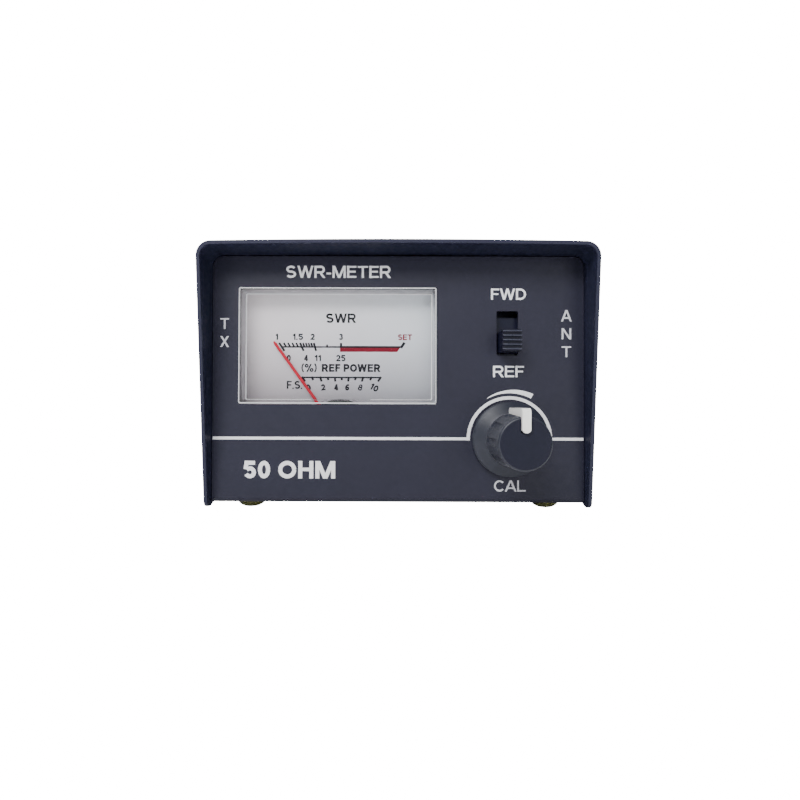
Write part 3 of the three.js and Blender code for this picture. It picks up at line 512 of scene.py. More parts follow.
# A lighter copy of the lever's plastic for the ribs' crests: a painted highlight.
RIB_CREST_PAINTED_HIGHLIGHT = moulding("switch_rib_painted_highlight", (0.03, 0.033, 0.055), 0.3)
WHITE_INK = ink("white_ink", (0.86, 0.86, 0.88))
# Greyer white ink for the legends by the hood's sides and below the knob: painted shade.
SHADE_GREY_INK = ink("white_ink_painted_shade", (0.6, 0.6, 0.64))
BLACK_INK = ink("black_ink", (0.004, 0.004, 0.007))
RED_INK = ink("red_ink", (0.17, 0.0014, 0.014))


# ---- Case ----
def socket_screw_places(x, z):
    half = SOCKET["screws"] / 2
    return [(x - half, z + half), (x + half, z - half)]


def socket_centres():
    for name in ("tx", "ant"):
        x, _, z = middle(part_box(name + "_socket_shell"))
        yield name, x, z


def cover_screw_places():
    for side, end in CORNERS:
        node = f"cover_screw_{side}_{end}"
        _, y, z = middle(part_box(node))
        yield node, SIDES[side], y, z


def cover_screw_holes():
    """Rods across the whole case that cut the holes of the cover's screws."""
    return [tool([(y + a, z + b) for a, b in circle(0, 0, SCREW_HOLE)], -2 * HALF_WIDTH, 2 * HALF_WIDTH, "X")
            for _, side, y, z in cover_screw_places() if side > 0]


def make_chassis():
    """Front panel, floor and rear panel bent from one sheet, with a flange up each side."""
    bend, inner_bend, corner = 1.3 * MM, 0.3 * MM, 2.8 * MM
    flange_long, flange_high, flange_y, flange_z = 54 * MM, 8.9 * MM, 30 * MM, 4.55 * MM
    stud_pitch, stud_radius, stud_long = 28 * MM, 1.2 * MM, 5.4 * MM
    bush_hole, socket_hole = 3.6 * MM, 6.6 * MM
    low, high = PANEL
    front, rear = low.y, high.y
    outline = ([(front, high.z)] + arc(front + bend, low.z + bend, bend, 180, 270, 8)
               + arc(rear - bend, low.z + bend, bend, 270, 360, 8) + [(rear, high.z), (rear - SHEET, high.z)]
               + arc(rear - bend, low.z + bend, inner_bend, 360, 270, 4)
               + arc(front + bend, low.z + bend, inner_bend, 270, 180, 4) + [(front + SHEET, high.z)])
    sheet = prism("panel_and_chassis", outline, low.x, high.x, "X")
    keep_height = 2 * high.x
    keep = rounded_rect(0, high.z - keep_height / 2, high.x - low.x, keep_height, corner)
    boolean(sheet, [tool(keep, front - SHEET, rear + SHEET)], "INTERSECT")
    flange = rounded_rect(front + flange_y, low.z + flange_z, flange_long, flange_high, SHEET, 4)
    walls = [tool(flange, *sorted((side * high.x, side * (high.x - SHEET))), "X") for side in (-1, 1)]
    studs = [round_tool(SLOT_X, SLOT_Z + side * stud_pitch / 2, stud_radius, front + SHEET / 2,
                        front + stud_long) for side in (-1, 1)]
    boolean(sheet, walls + studs, "UNION")
    slot = rounded_rect(SLOT_X, SLOT_Z, SLOT["width"], SLOT["height"], SLOT["corner"])
    span = (front - SHEET, front + 2 * SHEET)
    rear_span = (rear - 2 * SHEET, rear + SHEET)
    tools = [tool(window_outline(0.3 * MM), *span), tool(slot, *span),
             round_tool(KNOB_X, KNOB_Z, bush_hole, *span)]
    for _, x, z in socket_centres():
        tools.append(round_tool(x, z, socket_hole, *rear_span))
        tools += [round_tool(*place, SCREW_HOLE, *rear_span) for place in socket_screw_places(x, z)]
    boolean(sheet, tools + cover_screw_holes())
    fit(soften(sheet, 0.12 * MM), "panel_paint", "chassis")


def hood_profile(inset):
    """The hood's outline from the foot of one side over the top to the other, inset from its outside."""
    corner, crown, steps = 3.8 * MM - inset, 0.4 * MM, 24
    half = HALF_WIDTH - inset
    flat = half - corner
    top = HOOD[1].z - crown - inset
    shoulder = top - corner
    crest = []
    for i in range(1, steps):
        x = flat - 2 * flat * i / steps
        crest.append((x, top + crown * (1 - (x / flat) ** 2)))
    return ([(half, HOOD[0].z)] + arc(flat, shoulder, corner, 0, 90, 12) + crest
            + arc(-flat, shoulder, corner, 90, 180, 12) + [(-half, HOOD[0].z)])


def make_hood():
    """The hood's sheet is swept front to back. Its front edge leans and its lower tips are rounded."""
    tip, tip_y = 1.9 * MM, PANEL_Y - 2.3 * MM
    low, high = HOOD
    under, over = low.z - SHEET, high.z + SHEET
    hood = prism("hood", hood_profile(0) + hood_profile(SHEET)[::-1], low.y - SHEET, high.y)
    lean = (tip_y - low.y) / (high.z - low.z)
    far = low.y - 4 * SHEET

    def front(z):
        return tip_y - lean * (z - low.z)

    centre_y = front(low.z + tip) + tip
    before = ([(far, under), (centre_y, under)] + arc(centre_y, low.z + tip, tip, 270, 180, 12)
              + [(front(over), over), (far, over)])
    rise_start, rise_end, side_z = PANEL_Y + 0.4 * MM, PANEL_Y + 2.4 * MM, panel_z(-0.1)
    behind = high.y + SHEET
    below = [(rise_start, under), (behind, under), (behind, side_z), (rise_end, side_z), (rise_start, low.z)]
    cuts = [tool(outline, -2 * HALF_WIDTH, 2 * HALF_WIDTH, "X") for outline in (before, below)]
    boolean(hood, cuts + cover_screw_holes())
    fit(soften(hood, 0.16 * MM, 3), "cover_paint", "top_cover")


def make_foot(side, end):
    """A domed rubber bumper that is flat where it stands and meets the case with a small rim."""
    rim, flat = 0.3 * MM, 1.0 * MM
    node = f"foot_{side}_{end}"
    low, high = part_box(node)
    x, y, _ = middle((low, high))
    radius, height = (high.x - low.x) / 2, high.z - low.z
    straight = 0.2 * height
    dome = bow(flat, high.z - straight, radius - flat, straight - height, 0, 90, 16)
    profile = [(0, high.z)] + arc(radius - rim, high.z - rim, rim, 90, 0, 4) + dome + [(0, low.z)]
    foot = turned(f"bumper_{side}_{end}", profile, 64, (x, y, 0), "Z")
    fit(shade(foot, 40), "urethane", node)


SCREW_HEAD, SCREW_RISE, SCREW_CORE = 1.85, 1.1, 0.84    # parts of a pan screw over its radius


def pan_screw(name, radius, length):
    """A pan-head screw along Y, its head towards -Y and the head's underside at 0, with a cross recess."""
    head, rise, core = radius * SCREW_HEAD, radius * SCREW_RISE, radius * SCREW_CORE
    turns, slim, broad = 9, 0.17, 0.62
    dome = [(a, b) for b, a in bow(-0.45 * rise, 0, -0.55 * rise, head, 0, 90, 9)]
    shank = []
    for i in range(turns):
        along = length * (0.08 + 0.8 * i / turns)
        shank += [(core, along), (radius, along + length * 0.04)]
    profile = [(0, dome[0][1])] + dome[1:] + [(head, -0.05 * rise), (head * 0.96, 0), (core, 0)]
    profile += shank + [(radius * 0.4, length), (0, length)]
    screw = turned(name, profile, 40)
    recess = [rounded_rect(0, 0, 2 * wide * head, 2 * tall * head, 0.1 * head, 3)
              for wide, tall in ((slim, broad), (broad, slim))]
    boolean(screw, [tool(outline, -2 * rise, -0.42 * rise) for outline in recess])
    return soften(screw, 0.04 * MM)


def make_screws():
    rear_radius = 1.45 * MM
    for node, side, y, z in cover_screw_places():
        screw = pan_screw("side_" + node, 1.5 * MM, 4.6 * MM)
        move(screw, (side * (HALF_WIDTH + 0.1 * MM), y, z), side * pi / 2, "Z")
        fit(screw, "steel", node)
    for name, x, z in socket_centres():
        for i, (screw_x, screw_z) in enumerate(socket_screw_places(x, z), 1):
            node = f"{name}_socket_screw_{i}"
            screw = pan_screw("rear_" + node, rear_radius, 5.5 * MM)
            under_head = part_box(node)[1].y - rear_radius * SCREW_RISE
            move(screw, (screw_x, under_head, screw_z), pi, "Z", radians(20 * i + 15))
            fit(screw, "steel", node)


make_chassis()
make_hood()
for corner_side, corner_end in CORNERS:
    make_foot(corner_side, corner_end)
make_screws()


# ---- Lettering ----
def oval(x, z, wide, tall):
    return [bow(x, z, wide, tall, 0, 180), bow(x, z, wide, tall, 180, 360)]


def bowl(left, right, low, high):
    """The round side of a letter such as D or P, drawn from its top to its foot."""
    tall = (high - low) / 2
    wide = min(tall, (right - left) * 0.75)
    return [(left, high)] + bow(right - wide, low + tall, wide, tall, 90, -90) + [(left, low)]


def letter_strokes(letter, w, h):
    """The pen strokes of a letter in a box w wide and 1 high. The pen is 2 * h thick."""
    half, reach = w / 2, w / 2 - h
    left, right = [(h, 0), (h, 1)], [(w - h, 0), (w - h, 1)]
    foot, top = [(h, h), (w, h)], [(h, 1 - h), (w, 1 - h)]
    return {
        "A": [[(h, 0), (half, 1)], [(w - h, 0), (half, 1)], [(0.2 * w, 0.3), (0.8 * w, 0.3)]],
        "C": [bow(half, 0.5, reach, 0.5 - h, 42, 318, 24)],
        "D": [left, bowl(h, w - h, h, 1 - h)],
        "E": [left, foot, [(h, 0.52), (0.93 * w, 0.52)], top],
        "F": [left, [(h, 0.5), (0.9 * w, 0.5)], top],
        "H": [left, right, [(h, 0.52), (w - h, 0.52)]],
        "L": [left, foot],
        "M": [left, right, [(1.3 * h, 1), (half, 0)], [(w - 1.3 * h, 1), (half, 0)]],
        "N": [left, right, [(1.3 * h, 1), (w - 1.3 * h, 0)]],
        "O": oval(half, 0.5, reach, 0.5 - h),
        "P": [left, bowl(h, w - h, 0.44, 1 - h)],
        "R": [left, bowl(h, w - 1.3 * h, 0.46, 1 - h), [(half, 0.5), (w - h, 0)]],
        "S": [bow(half, 0.755 - h / 2, half - 1.2 * h, 0.245 - h / 2, 28, 270, 20),
              bow(half, 0.255 + h / 2, reach, 0.255 - h / 2, 90, -152, 20)],
        "T": [[(half, 0), (half, 1 - h)], [(0, 1 - h), (w, 1 - h)]],
        "W": [[(h, 1), (0.28 * w, 0)], [(half, 1), (0.28 * w, 0)], [(half, 1), (0.72 * w, 0)],
              [(w - h, 1), (0.72 * w, 0)]],
        "X": [[(1.2 * h, 0), (w - 1.3 * h, 1)], [(w - 1.2 * h, 0), (1.3 * h, 1)]],
        "0": oval(half, 0.5, reach, 0.5 - h),
        "1": [right, [(0, 0.72), (half, 0.8), (w - h, 0.97)]],
        "2": [bow(half, 0.7 - h / 2, reach, 0.3 - h / 2, 165, -35) + foot],
        "3": [bow(half, 0.765 - h / 2, half - 1.2 * h, 0.235 - h / 2, 160, -90),
              bow(half, 0.265 + h / 2, reach, 0.265 - h / 2, 90, -160)],
        "4": [[(0.72 * w, 0), (0.72 * w, 1)], [(0.7 * w, 0.97), (1.2 * h, 0.27)],
              [(h / 2, 0.27), (w, 0.27)]],
        "5": [[(0.92 * w, 1 - h), (0.22 * w, 1 - h), (0.14 * w, 0.52)],
              bow(half, 0.34, reach, 0.34 - h, 140, -155)],
        "6": oval(half, 0.32, reach, 0.32 - h) + [bow(half + h, 0.45, half, 0.55 - h, 62, 185)],
        "8": oval(half, 0.755 - h / 2, half - 1.4 * h, 0.245 - h / 2)
        + oval(half, 0.265 + h / 2, reach, 0.265 - h / 2),
        ".": [[(half, 0), (half, w)]],
        "-": [[(0, 0.36), (w, 0.36)]],
        "(": [bow(1.7 * w, 0.5, 1.7 * w - h, 0.62, 122, 238)],
        ")": [bow(-0.7 * w, 0.5, 1.7 * w - h, 0.62, 58, -58)],
        "%": oval(0.22 * w, 0.76, 0.22 * w - h, 0.24 - h) + oval(0.78 * w, 0.24, 0.22 * w - h, 0.24 - h)
        + [[(0.28 * w, 0), (0.72 * w, 1)]],
        " ": [],
    }[letter]


LETTER_WIDTHS = {"A": 0.95, "C": 0.9, "D": 0.86, "E": 0.76, "F": 0.7, "H": 0.82, "L": 0.7, "M": 1.08,
                 "N": 0.83, "O": 0.98, "P": 0.8, "R": 0.88, "S": 0.82, "T": 0.84, "W": 1.3, "X": 0.9,
                 "1": 0.36, "%": 1.1, ".": 0.17, "-": 0.38, "(": 0.28, ")": 0.28, " ": 0.22}
DIGIT_WIDTH = 0.66
LETTER_GAP = 0.11
KERNING = {"CA": -0.13, "FW": -0.05, "WD": -0.03, "AL": -0.05, "WR": -0.02, "OW": -0.06, "PO": -0.03}
LEVEL_SHARE = 0.84              # a level stroke's thickness over an upright one's
LEVEL_SLOPE = 0.25              # a stroke that rises by less of its length counts as level


def anticlockwise(outline):
    after = outline[1:] + outline[:1]
    area = sum(a[0] * b[1] - b[0] * a[1] for a, b in zip(outline, after))
    return outline if area > 0 else outline[::-1]


def slanted_bar(start, end, half):
    """A straight stroke. Its ends lie level unless it is level itself."""
    (x0, z0), (x1, z1) = start, end
    length = hypot(x1 - x0, z1 - z0)
    if abs(z1 - z0) > LEVEL_SLOPE * length:
        a, b = half * length / abs(z1 - z0), 0
    else:
        thin = half * LEVEL_SHARE
        a, b = -thin * (z1 - z0) / length, thin * (x1 - x0) / length
    return [(x0 - a, z0 - b), (x0 + a, z0 + b), (x1 + a, z1 + b), (x1 - a, z1 - b)]


def pen_stroke(points, half):
    """Quads that follow a line of points, mitred where they meet."""
    if len(points) == 2:
        return [slanted_bar(*points, half)]
    lines = [Vector(b) - Vector(a) for a, b in zip(points, points[1:])]
    normals = [Vector((-line.y, line.x)).normalized() for line in lines]
    sides = []
    for i, point in enumerate(points):
        before, after = normals[max(0, i - 1)], normals[min(i, len(normals) - 1)]
        mitre = (before + after).normalized()
        reach = half / max(0.5, mitre.dot(after))
        sides.append((Vector(point) + mitre * reach, Vector(point) - mitre * reach))
    return [[tuple(a[0]), tuple(a[1]), tuple(b[1]), tuple(b[0])] for a, b in zip(sides, sides[1:])]


def flat_print(name, outlines, y):
    """Joins flat outlines into one layer of ink that faces the front."""
    points, faces = [], []
    for outline in outlines:
        outline = anticlockwise(list(outline))
        faces.append(list(range(len(points), len(points) + len(outline))))
        points += [Vector(point) / MM for point in outline]
    found = delaunay_2d_cdt(points, [], faces, 0, 1e-5, True)
    inked = [face for face, sources in zip(found[2], found[5]) if sources]
    piece = from_faces(name, [(point.x * MM, y, point.y * MM) for point in found[0]], inked)
    thicken(piece, PRINT)
    return piece


def thicken(piece, depth):
    """Gives flat print facing the front a thickness towards the back."""
    solid = bmesh.new()
    solid.from_mesh(piece.data)
    loose = [vertex for vertex in solid.verts if not vertex.link_faces]
    bmesh.ops.delete(solid, geom=loose, context="VERTS")
    grown = bmesh.ops.extrude_face_region(solid, geom=solid.faces[:], use_keep_orig=True)
    moved = [item for item in grown["geom"] if isinstance(item, bmesh.types.BMVert)]
    bmesh.ops.translate(solid, verts=moved, vec=(0, depth, 0))
    bmesh.ops.recalc_face_normals(solid, faces=solid.faces)
    solid.to_mesh(piece.data)
    solid.free()


def printed_text(name, words, x, z, width, height, y, weight=0.2, turn=0.0):
    """Sans-serif lettering centred on x and z. The weight is the pen's width over the letters' height."""
    widths = [LETTER_WIDTHS.get(letter, DIGIT_WIDTH) for letter in words]
    gaps = [LETTER_GAP + KERNING.get(pair, 0) for pair in map("".join, zip(words, words[1:]))] + [0]
    stretch = width / height / (sum(widths) + sum(gaps))
    strokes = []
    along = 0.0
    for letter, letter_width, gap in zip(words, widths, gaps):
        wide = letter_width * stretch
        for points in letter_strokes(letter, wide, weight / 2):
            strokes += pen_stroke([(along + a, b) for a, b in points], weight / 2)
        along += wide + gap * stretch
    cosine, sine = cos(turn), sin(turn)
    outlines = []
    for outline in strokes:
        placed = []
        for a, b in outline:
            right, up = (a - width / height / 2) * height, (b - 0.5) * height
            placed.append((x + right * cosine - up * sine, z + right * sine + up * cosine))
        outlines.append(placed)
    return flat_print(name, outlines, y)


# Each kind of print: where its layer of ink begins, its slot and its look.
PANEL_WHITE = (PANEL_PRINT_Y, "white_plastic", WHITE_INK)
# Print in the greyer ink, which paints shade on its legends.
PANEL_SHADED_INK = (PANEL_PRINT_Y, "white_plastic", SHADE_GREY_INK)
DIAL_BLACK = (DIAL_PRINT_Y, "black_plastic", BLACK_INK)
DIAL_RED = (DIAL_PRINT_Y, "red_paint", RED_INK)


def print_words(kind, print_style, *labels):
    """Each label is its name, its words, x and height above the base, width and height, all in
    millimetres, then its weight and, if it is turned, its angle in radians."""
    y, slot, look = print_style
    for name, words, x, z, width, height, *style in labels:
        text = printed_text(kind + name, words, x * MM, panel_z(z), width * MM, height * MM, y, *style)
        fit(text, slot, look=look)


def print_shapes(name, outlines, y, slot, look):
    fit(flat_print(name, outlines, y), slot, look=look)


def make_panel_words():
    print_words(
        "legend_", PANEL_WHITE,
        ("swr_meter", "SWR-METER", -15.8, 60.7, 27.6, 3.2, 0.175),
        ("fwd", "FWD", 29.0, 54.9, 9.2, 3.0, 0.175),
        ("ref", "REF", 29.0, 34.55, 8.1, 3.0, 0.175))
    # These legends lie by the hood's sides and below the knob, and their greyer ink is painted shade.
    print_words(
        "legend_", PANEL_SHADED_INK,
        ("cal", "CAL", 29.4, 4.55, 8.3, 2.95, 0.155),
        ("t", "T", -45.7, 47.0, 2.3, 2.9, 0.16),
        ("x", "X", -45.7, 42.25, 2.4, 2.9, 0.16),
        ("a", "A", 44.2, 49.25, 2.8, 3.0, 0.16),
        ("n", "N", 44.2, 44.5, 2.5, 2.9, 0.16),
        ("t_right", "T", 44.2, 39.8, 2.5, 2.9, 0.16))
    print_words("legend_", PANEL_WHITE, ("impedance", "50 OHM", -28.4, 8.6, 24.0, 4.6, 0.23))


def make_panel_lines():
    """A line across the panel, broken by a half ring round the knob, and a wedge over the ring."""
    outer, inner, half = 11.2 * MM, 10.35 * MM, 0.37 * MM
    edge = PANEL[1].x - 0.15 * MM
    join = outer - 0.3 * MM
    z = panel_z(16.85)
    ring = arc(KNOB_X, z, outer, -2.2, 182.2, 64) + arc(KNOB_X, z, inner, 182.2, -2.2, 64)
    ends = ((-edge, KNOB_X - join), (KNOB_X + join, edge))
    lines = [bar(*pair, z - half, z + half) for pair in ends]
    print_shapes("panel_line", lines + [ring], *PANEL_WHITE)
    print_shapes("knob_wedge", [wedge_outline(KNOB_X, z)], *PANEL_WHITE)


def wedge_outline(x, z):
    """A band over the knob that grows from a point at its left end to its right end."""
    inner, thin, thick = 12.0 * MM, 0.15 * MM, 1.35 * MM
    start, end, steps = 119.0, 62.0, 40
    outer_side = []
    for i in range(steps + 1):
        share = i / steps
        angle = radians(start + (end - start) * share)
        radius = inner + thin + (thick - thin) * share ** 0.8
        outer_side.append((x + radius * cos(angle), z + radius * sin(angle)))
    return outer_side + arc(x, z, inner, end, start, steps)


make_panel_words()
make_panel_lines()


# ---- Meter ----
def make_lens():
    """A clear moulding: a raised window, a flange behind the panel and a skirt behind that."""
    wall, chamfer, pane, skirt_wall = 1.0 * MM, 0.3 * MM, 1.1 * MM, 1.2 * MM
    skirt_inset, flat_facing = 0.8 * MM, 0.97
    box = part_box("meter_lens")
    x, _, z = middle(box)
    width, _, height = extent(box)
    face, skirt_back = box[0].y, box[1].y
    flange = (PANEL_Y + 1.8 * MM, PANEL_Y + 3.0 * MM)

    def block(shrink, corner, low, high):
        return tool(rounded_rect(x, z, width - shrink, height - shrink, corner), low, high)

    window = window_outline()
    front = window_outline(-2 * chamfer, 0.2 * MM)
    lens = stacked("clear_window", [(front, face), (window, face + chamfer), (window, flange[1])])
    boolean(lens, [block(0, 1 * MM, *flange),
                   block(skirt_inset, 1 * MM, flange[0] + 0.2 * MM, skirt_back)], "UNION")
    boolean(lens, [tool(window_outline(-2 * wall), face + pane, skirt_back + SHEET),
                   block(skirt_inset + 2 * skirt_wall, 0.6 * MM, flange[1], skirt_back + SHEET),
                   round_tool(PIVOT_X, PIVOT_Z, HUB_POCKET, face + pane + 0.1 * MM, skirt_back)])
    fit(soften(lens, 0.06 * MM), "clear_plastic", "meter_lens")

    def choose(side):
        """The chamfer, which has a painted glow, is 2, the walls are 1, and the flat faces and the hub's
        pocket stay clear.
        """
        if abs(side.normal.y) > flat_facing:
            return 0
        if side.center.y < face + chamfer + 0.06 * MM:
            return 2
        from_pivot = hypot(side.center.x - PIVOT_X, side.center.z - PIVOT_Z)
        return 1 if from_pivot > HUB_POCKET + 0.4 * MM else 0

    dress_faces(lens, [CLEAR_WALL, CLEAR_EDGE_PAINTED_GLOW], choose)
    make_lens_lip(wall, flange[1])


def make_lens_lip(wall, back):
    """A thin moulded lip round the inside of the window, at the back of its wall."""
    reach, depth, needle_room = 0.16 * MM, 0.4 * MM, 8 * MM
    lip = prism("clear_window_lip", window_outline(-2 * wall), back - depth, back)
    low = WINDOW["z"] - WINDOW["height"] / 2
    gap = bar(PIVOT_X - needle_room, PIVOT_X + needle_room, low, low + 2 * wall)
    boolean(lip, [tool(outline, back - SHEET, back + SHEET)
                  for outline in (window_outline(-2 * wall - 2 * reach), gap)])
    # The lip has the edge's painted glow.
    fit(soften(lip, 0.04 * MM), "clear_plastic", look=CLEAR_EDGE_PAINTED_GLOW)


UPPER_LINE, LOWER_LINE = panel_z(41.56), panel_z(33.18)
# Angles on the dial are in degrees from upright.
UPPER_MAJORS = (-34.4, -24.6, -17.2, -0.8)
HALF_MARK, SET_ANGLE = -9.6, 33.8
LOWER_START, LOWER_STEP, LOWER_MARKS = -34.4, 6.8, 11
LINE = 0.42 * MM
MAJOR_TICK, MINOR_TICK, SET_TICK = 0.56 * MM, 0.5 * MM, 0.7 * MM
TICK_RISE = 1.1 * MM
BAR_HEIGHT = 1.1 * MM


def on_line(angle, base):
    return PIVOT_X + tan(radians(angle)) * (base - PIVOT_Z)


def tick(angle, base, low, high, width):
    """A tick on a straight scale that points at the needle's pivot."""
    direction = Vector((sin(radians(angle)), cos(radians(angle))))
    sideways = Vector((direction.y, -direction.x)) * (width / 2)
    bottom, top = [Vector((PIVOT_X, PIVOT_Z)) + direction * ((base - PIVOT_Z + height) / direction.y)
                   for height in (low, high)]
    return [tuple(point) for point in (bottom - sideways, bottom + sideways, top + sideways, top - sideways)]


def scale_line(first, last, z, above=LINE / 2):
    return bar(on_line(first, z), on_line(last, z), z - LINE / 2, z + above)


def upper_scale():
    first, last = UPPER_MAJORS[0], UPPER_MAJORS[-1]
    shapes = [scale_line(first, last, UPPER_LINE)]
    for angle in UPPER_MAJORS[:-1]:
        shapes.append(tick(angle, UPPER_LINE, -TICK_RISE, TICK_RISE, MAJOR_TICK))
    shapes.append(tick(last, UPPER_LINE, -LINE / 2, TICK_RISE, MAJOR_TICK))
    minors = 5
    for start, end in zip(UPPER_MAJORS[:2], UPPER_MAJORS[1:3]):
        for i in range(1, minors):
            shapes.append(tick(start + (end - start) * i / minors, UPPER_LINE, 0, TICK_RISE, MINOR_TICK))
    shapes.append(tick(HALF_MARK, UPPER_LINE, 0, 0.6 * TICK_RISE, MINOR_TICK))
    shapes.append(scale_line(last, SET_ANGLE, UPPER_LINE, 0.28 * MM))
    shapes.append(tick(SET_ANGLE, UPPER_LINE, -LINE / 2, 1.15 * TICK_RISE, SET_TICK))
    return shapes


def lower_scale():
    angles = [LOWER_START + LOWER_STEP * i for i in range(LOWER_MARKS)]
    shapes = [scale_line(angles[0], angles[-1], LOWER_LINE)]
    for i, angle in enumerate(angles):
        drop = TICK_RISE if i % 2 == 0 else 0.68 * TICK_RISE
        shapes.append(tick(angle, LOWER_LINE, -drop, LINE / 2, MAJOR_TICK))
    return shapes


def red_bar():
    top = UPPER_LINE - LINE / 2
    low = top - BAR_HEIGHT
    left = on_line(UPPER_MAJORS[-1], UPPER_LINE) - MAJOR_TICK / 2
    return [(left, low), (on_line(SET_ANGLE, low) - MAJOR_TICK / 2, low),
            (on_line(SET_ANGLE, top) - MAJOR_TICK / 2, top), (left, top)]


def make_dial_print():
    print_shapes("dial_scale", upper_scale() + lower_scale(), *DIAL_BLACK)
    print_shapes("dial_red_bar", [red_bar()], *DIAL_RED)
    print_words(
        "dial_", DIAL_BLACK,
        ("swr", "SWR", -15.8, 49.5, 8.3, 2.6, 0.205),
        ("swr_1", "1", -33.4, 44.35, 0.6, 1.7, 0.225),
        ("swr_1_5", "1.5", -27.6, 44.35, 2.8, 1.7, 0.225),
        ("swr_2", "2", -23.6, 44.35, 1.15, 1.7, 0.225),
        ("swr_3", "3", -15.8, 44.35, 1.15, 1.7, 0.235),
        ("percent_0", "0", -30.1, 38.5, 1.1, 1.75, 0.225),
        ("percent_4", "4", -25.4, 38.5, 1.15, 1.7, 0.225),
        ("percent_11", "11", -22.1, 38.5, 1.7, 1.7, 0.225),
        ("percent_25", "25", -15.8, 38.5, 2.6, 1.75, 0.22),
        ("percent", "(%)", -24.5, 35.8, 4.2, 2.2, 0.165),
        ("ref_power", "REF POWER", -12.95, 35.8, 16.1, 2.15, 0.245),
        ("full_scale", "F.S.", -28.5, 31.1, 4.2, 2.2, 0.195),
        ("power_0", "0", -24.6, 30.45, 1.1, 1.7, 0.235, 0.35),
        ("power_2", "2", -20.6, 30.45, 1.15, 1.7, 0.255, 0.15),
        ("power_4", "4", -17.1, 30.45, 1.15, 1.7, 0.255, 0.05),
        ("power_6", "6", -14.0, 30.45, 1.1, 1.7, 0.255),
        ("power_8", "8", -10.4, 30.45, 1.15, 1.75, 0.19, -0.3),
        ("power_10", "10", -6.5, 30.4, 2.2, 1.75, 0.235, -0.5))
    print_words("dial_", DIAL_RED, ("set", "SET", 1.85, 44.3, 3.9, 1.6, 0.21))


def make_dial():
    pivot_hole, corner = 9.0 * MM, 0.6 * MM
    low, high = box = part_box("dial_plate")
    x, _, z = middle(box)
    width, _, height = extent(box)
    plate = prism("dial_face", rounded_rect(x, z, width, height, corner), low.y, high.y)
    boolean(plate, [round_tool(PIVOT_X, PIVOT_Z, pivot_hole, low.y - SHEET, high.y + SHEET)])
    fit(soften(plate, 0.05 * MM), "dial_white", "dial_plate")


def make_hub_cover():
    """A round cap over the pivot. Its rim is open over a wide angle at the top, for the needle."""
    wall, crown, edge, half_mouth = 0.7 * MM, 0.7 * MM, 0.3 * MM, 50
    low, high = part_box("hub_cover")
    radius = (high.x - low.x) / 2
    profile = ([(0, low.y)] + [(a, low.y + edge - b) for a, b in arc(radius - edge, 0, edge, 90, 0, 5)]
               + [(radius, high.y), (radius - wall, high.y), (radius - wall, low.y + crown),
                  (0, low.y + crown)])
    cover = turned("hub_cap", profile, 96, (PIVOT_X, 0, PIVOT_Z))
    mouth = [(PIVOT_X, PIVOT_Z)] + [arc(PIVOT_X, PIVOT_Z, 2 * radius, 90 - side * half_mouth, 0, 1)[0]
                                    for side in (1, -1)]
    boolean(cover, [tool(mouth, low.y + crown, high.y + SHEET)])
    fit(soften(cover, 0.06 * MM), "black_plastic", "hub_cover")


def make_needle():
    """A flat pointer with a round hub and a weighted tail, standing at the rest angle of the CAD needle."""
    length, half, tail, rest_angle = 31.7 * MM, 0.375 * MM, 6.5 * MM, 36.0
    hub_radius, pivot_radius = 1.6 * MM, 0.55 * MM
    low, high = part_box("needle")
    outline = [(-half, -tail), (half, -tail), (half, length - 2 * half), (0.5 * half, length),
               (-0.5 * half, length), (-half, length - 2 * half)]
    pointer = prism("pointer", outline, low.y, high.y)
    weight = rounded_rect(0, -tail + 0.5 * MM, 2.6 * MM, 1.8 * MM, 0.4 * MM)
    boolean(pointer, [tool(part, low.y, high.y) for part in (circle(0, 0, hub_radius), weight)], "UNION")
    boolean(pointer, [round_tool(0, 0, pivot_radius, low.y - SHEET, high.y + SHEET)])
    soften(pointer, 0.08 * MM)
    move(pointer, (PIVOT_X, 0, PIVOT_Z), -radians(rest_angle), "Y")
    fit(pointer, "red_paint", "needle", body="needle")


make_lens()
make_dial()
make_dial_print()
make_hub_cover()
make_needle()


# ---- Slide switch ----
def make_lever():
    """The lever's stem goes through the slot. Its face is moulded with rounded ribs across it."""
    width, height, ribs = 4.8 * MM, 5.5 * MM, 5
    rib_rise, rib_half = 0.75 * MM, 0.2 * MM
    shoe_front = PANEL_Y + 1.8 * MM
    low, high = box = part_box("switch_lever")
    x, _, z = middle(box)
    shoe_wide, _, shoe_high = extent(box)
    stem = prism("slide_lever", rounded_rect(x, z, width, height, 0.25 * MM, 4), low.y + rib_rise,
                 shoe_front + 0.6 * MM)
    parts = [tool(rounded_rect(x, z, shoe_wide, shoe_high, 0.6 * MM, 4), shoe_front, high.y)]
    pitch = (height - 1.0 * MM) / (ribs - 1)
    for i in range(ribs):
        rib_z = z + (i - (ribs - 1) / 2) * pitch
        root_y = low.y + 1.5 * rib_rise
        crest = [(low.y + rib_half - a, rib_z + b) for a, b in arc(0, 0, rib_half, -90, 90, 8)]
        outline = [(root_y, rib_z - rib_half)] + crest + [(root_y, rib_z + rib_half)]
        parts.append(tool(outline, x - width / 2, x + width / 2, "X"))
    boolean(stem, parts, "UNION")
    fit(soften(stem, 0.09 * MM), "switch_plastic", "switch_lever", body="lever")
    # The ribs' crests get the lighter copy: a painted highlight.
    dress_faces(stem, [RIB_CREST_PAINTED_HIGHLIGHT], lambda side: 1 if side.center.y < low.y + rib_half else 0)


make_lever()


# ---- Knob ----
FLUTES, FLUTE_DEPTH = 10, 0.6 * MM


def smooth_step(low, high, value):
    share = min(1, max(0, (value - low) / (high - low)))
    return share * share * (3 - 2 * share)


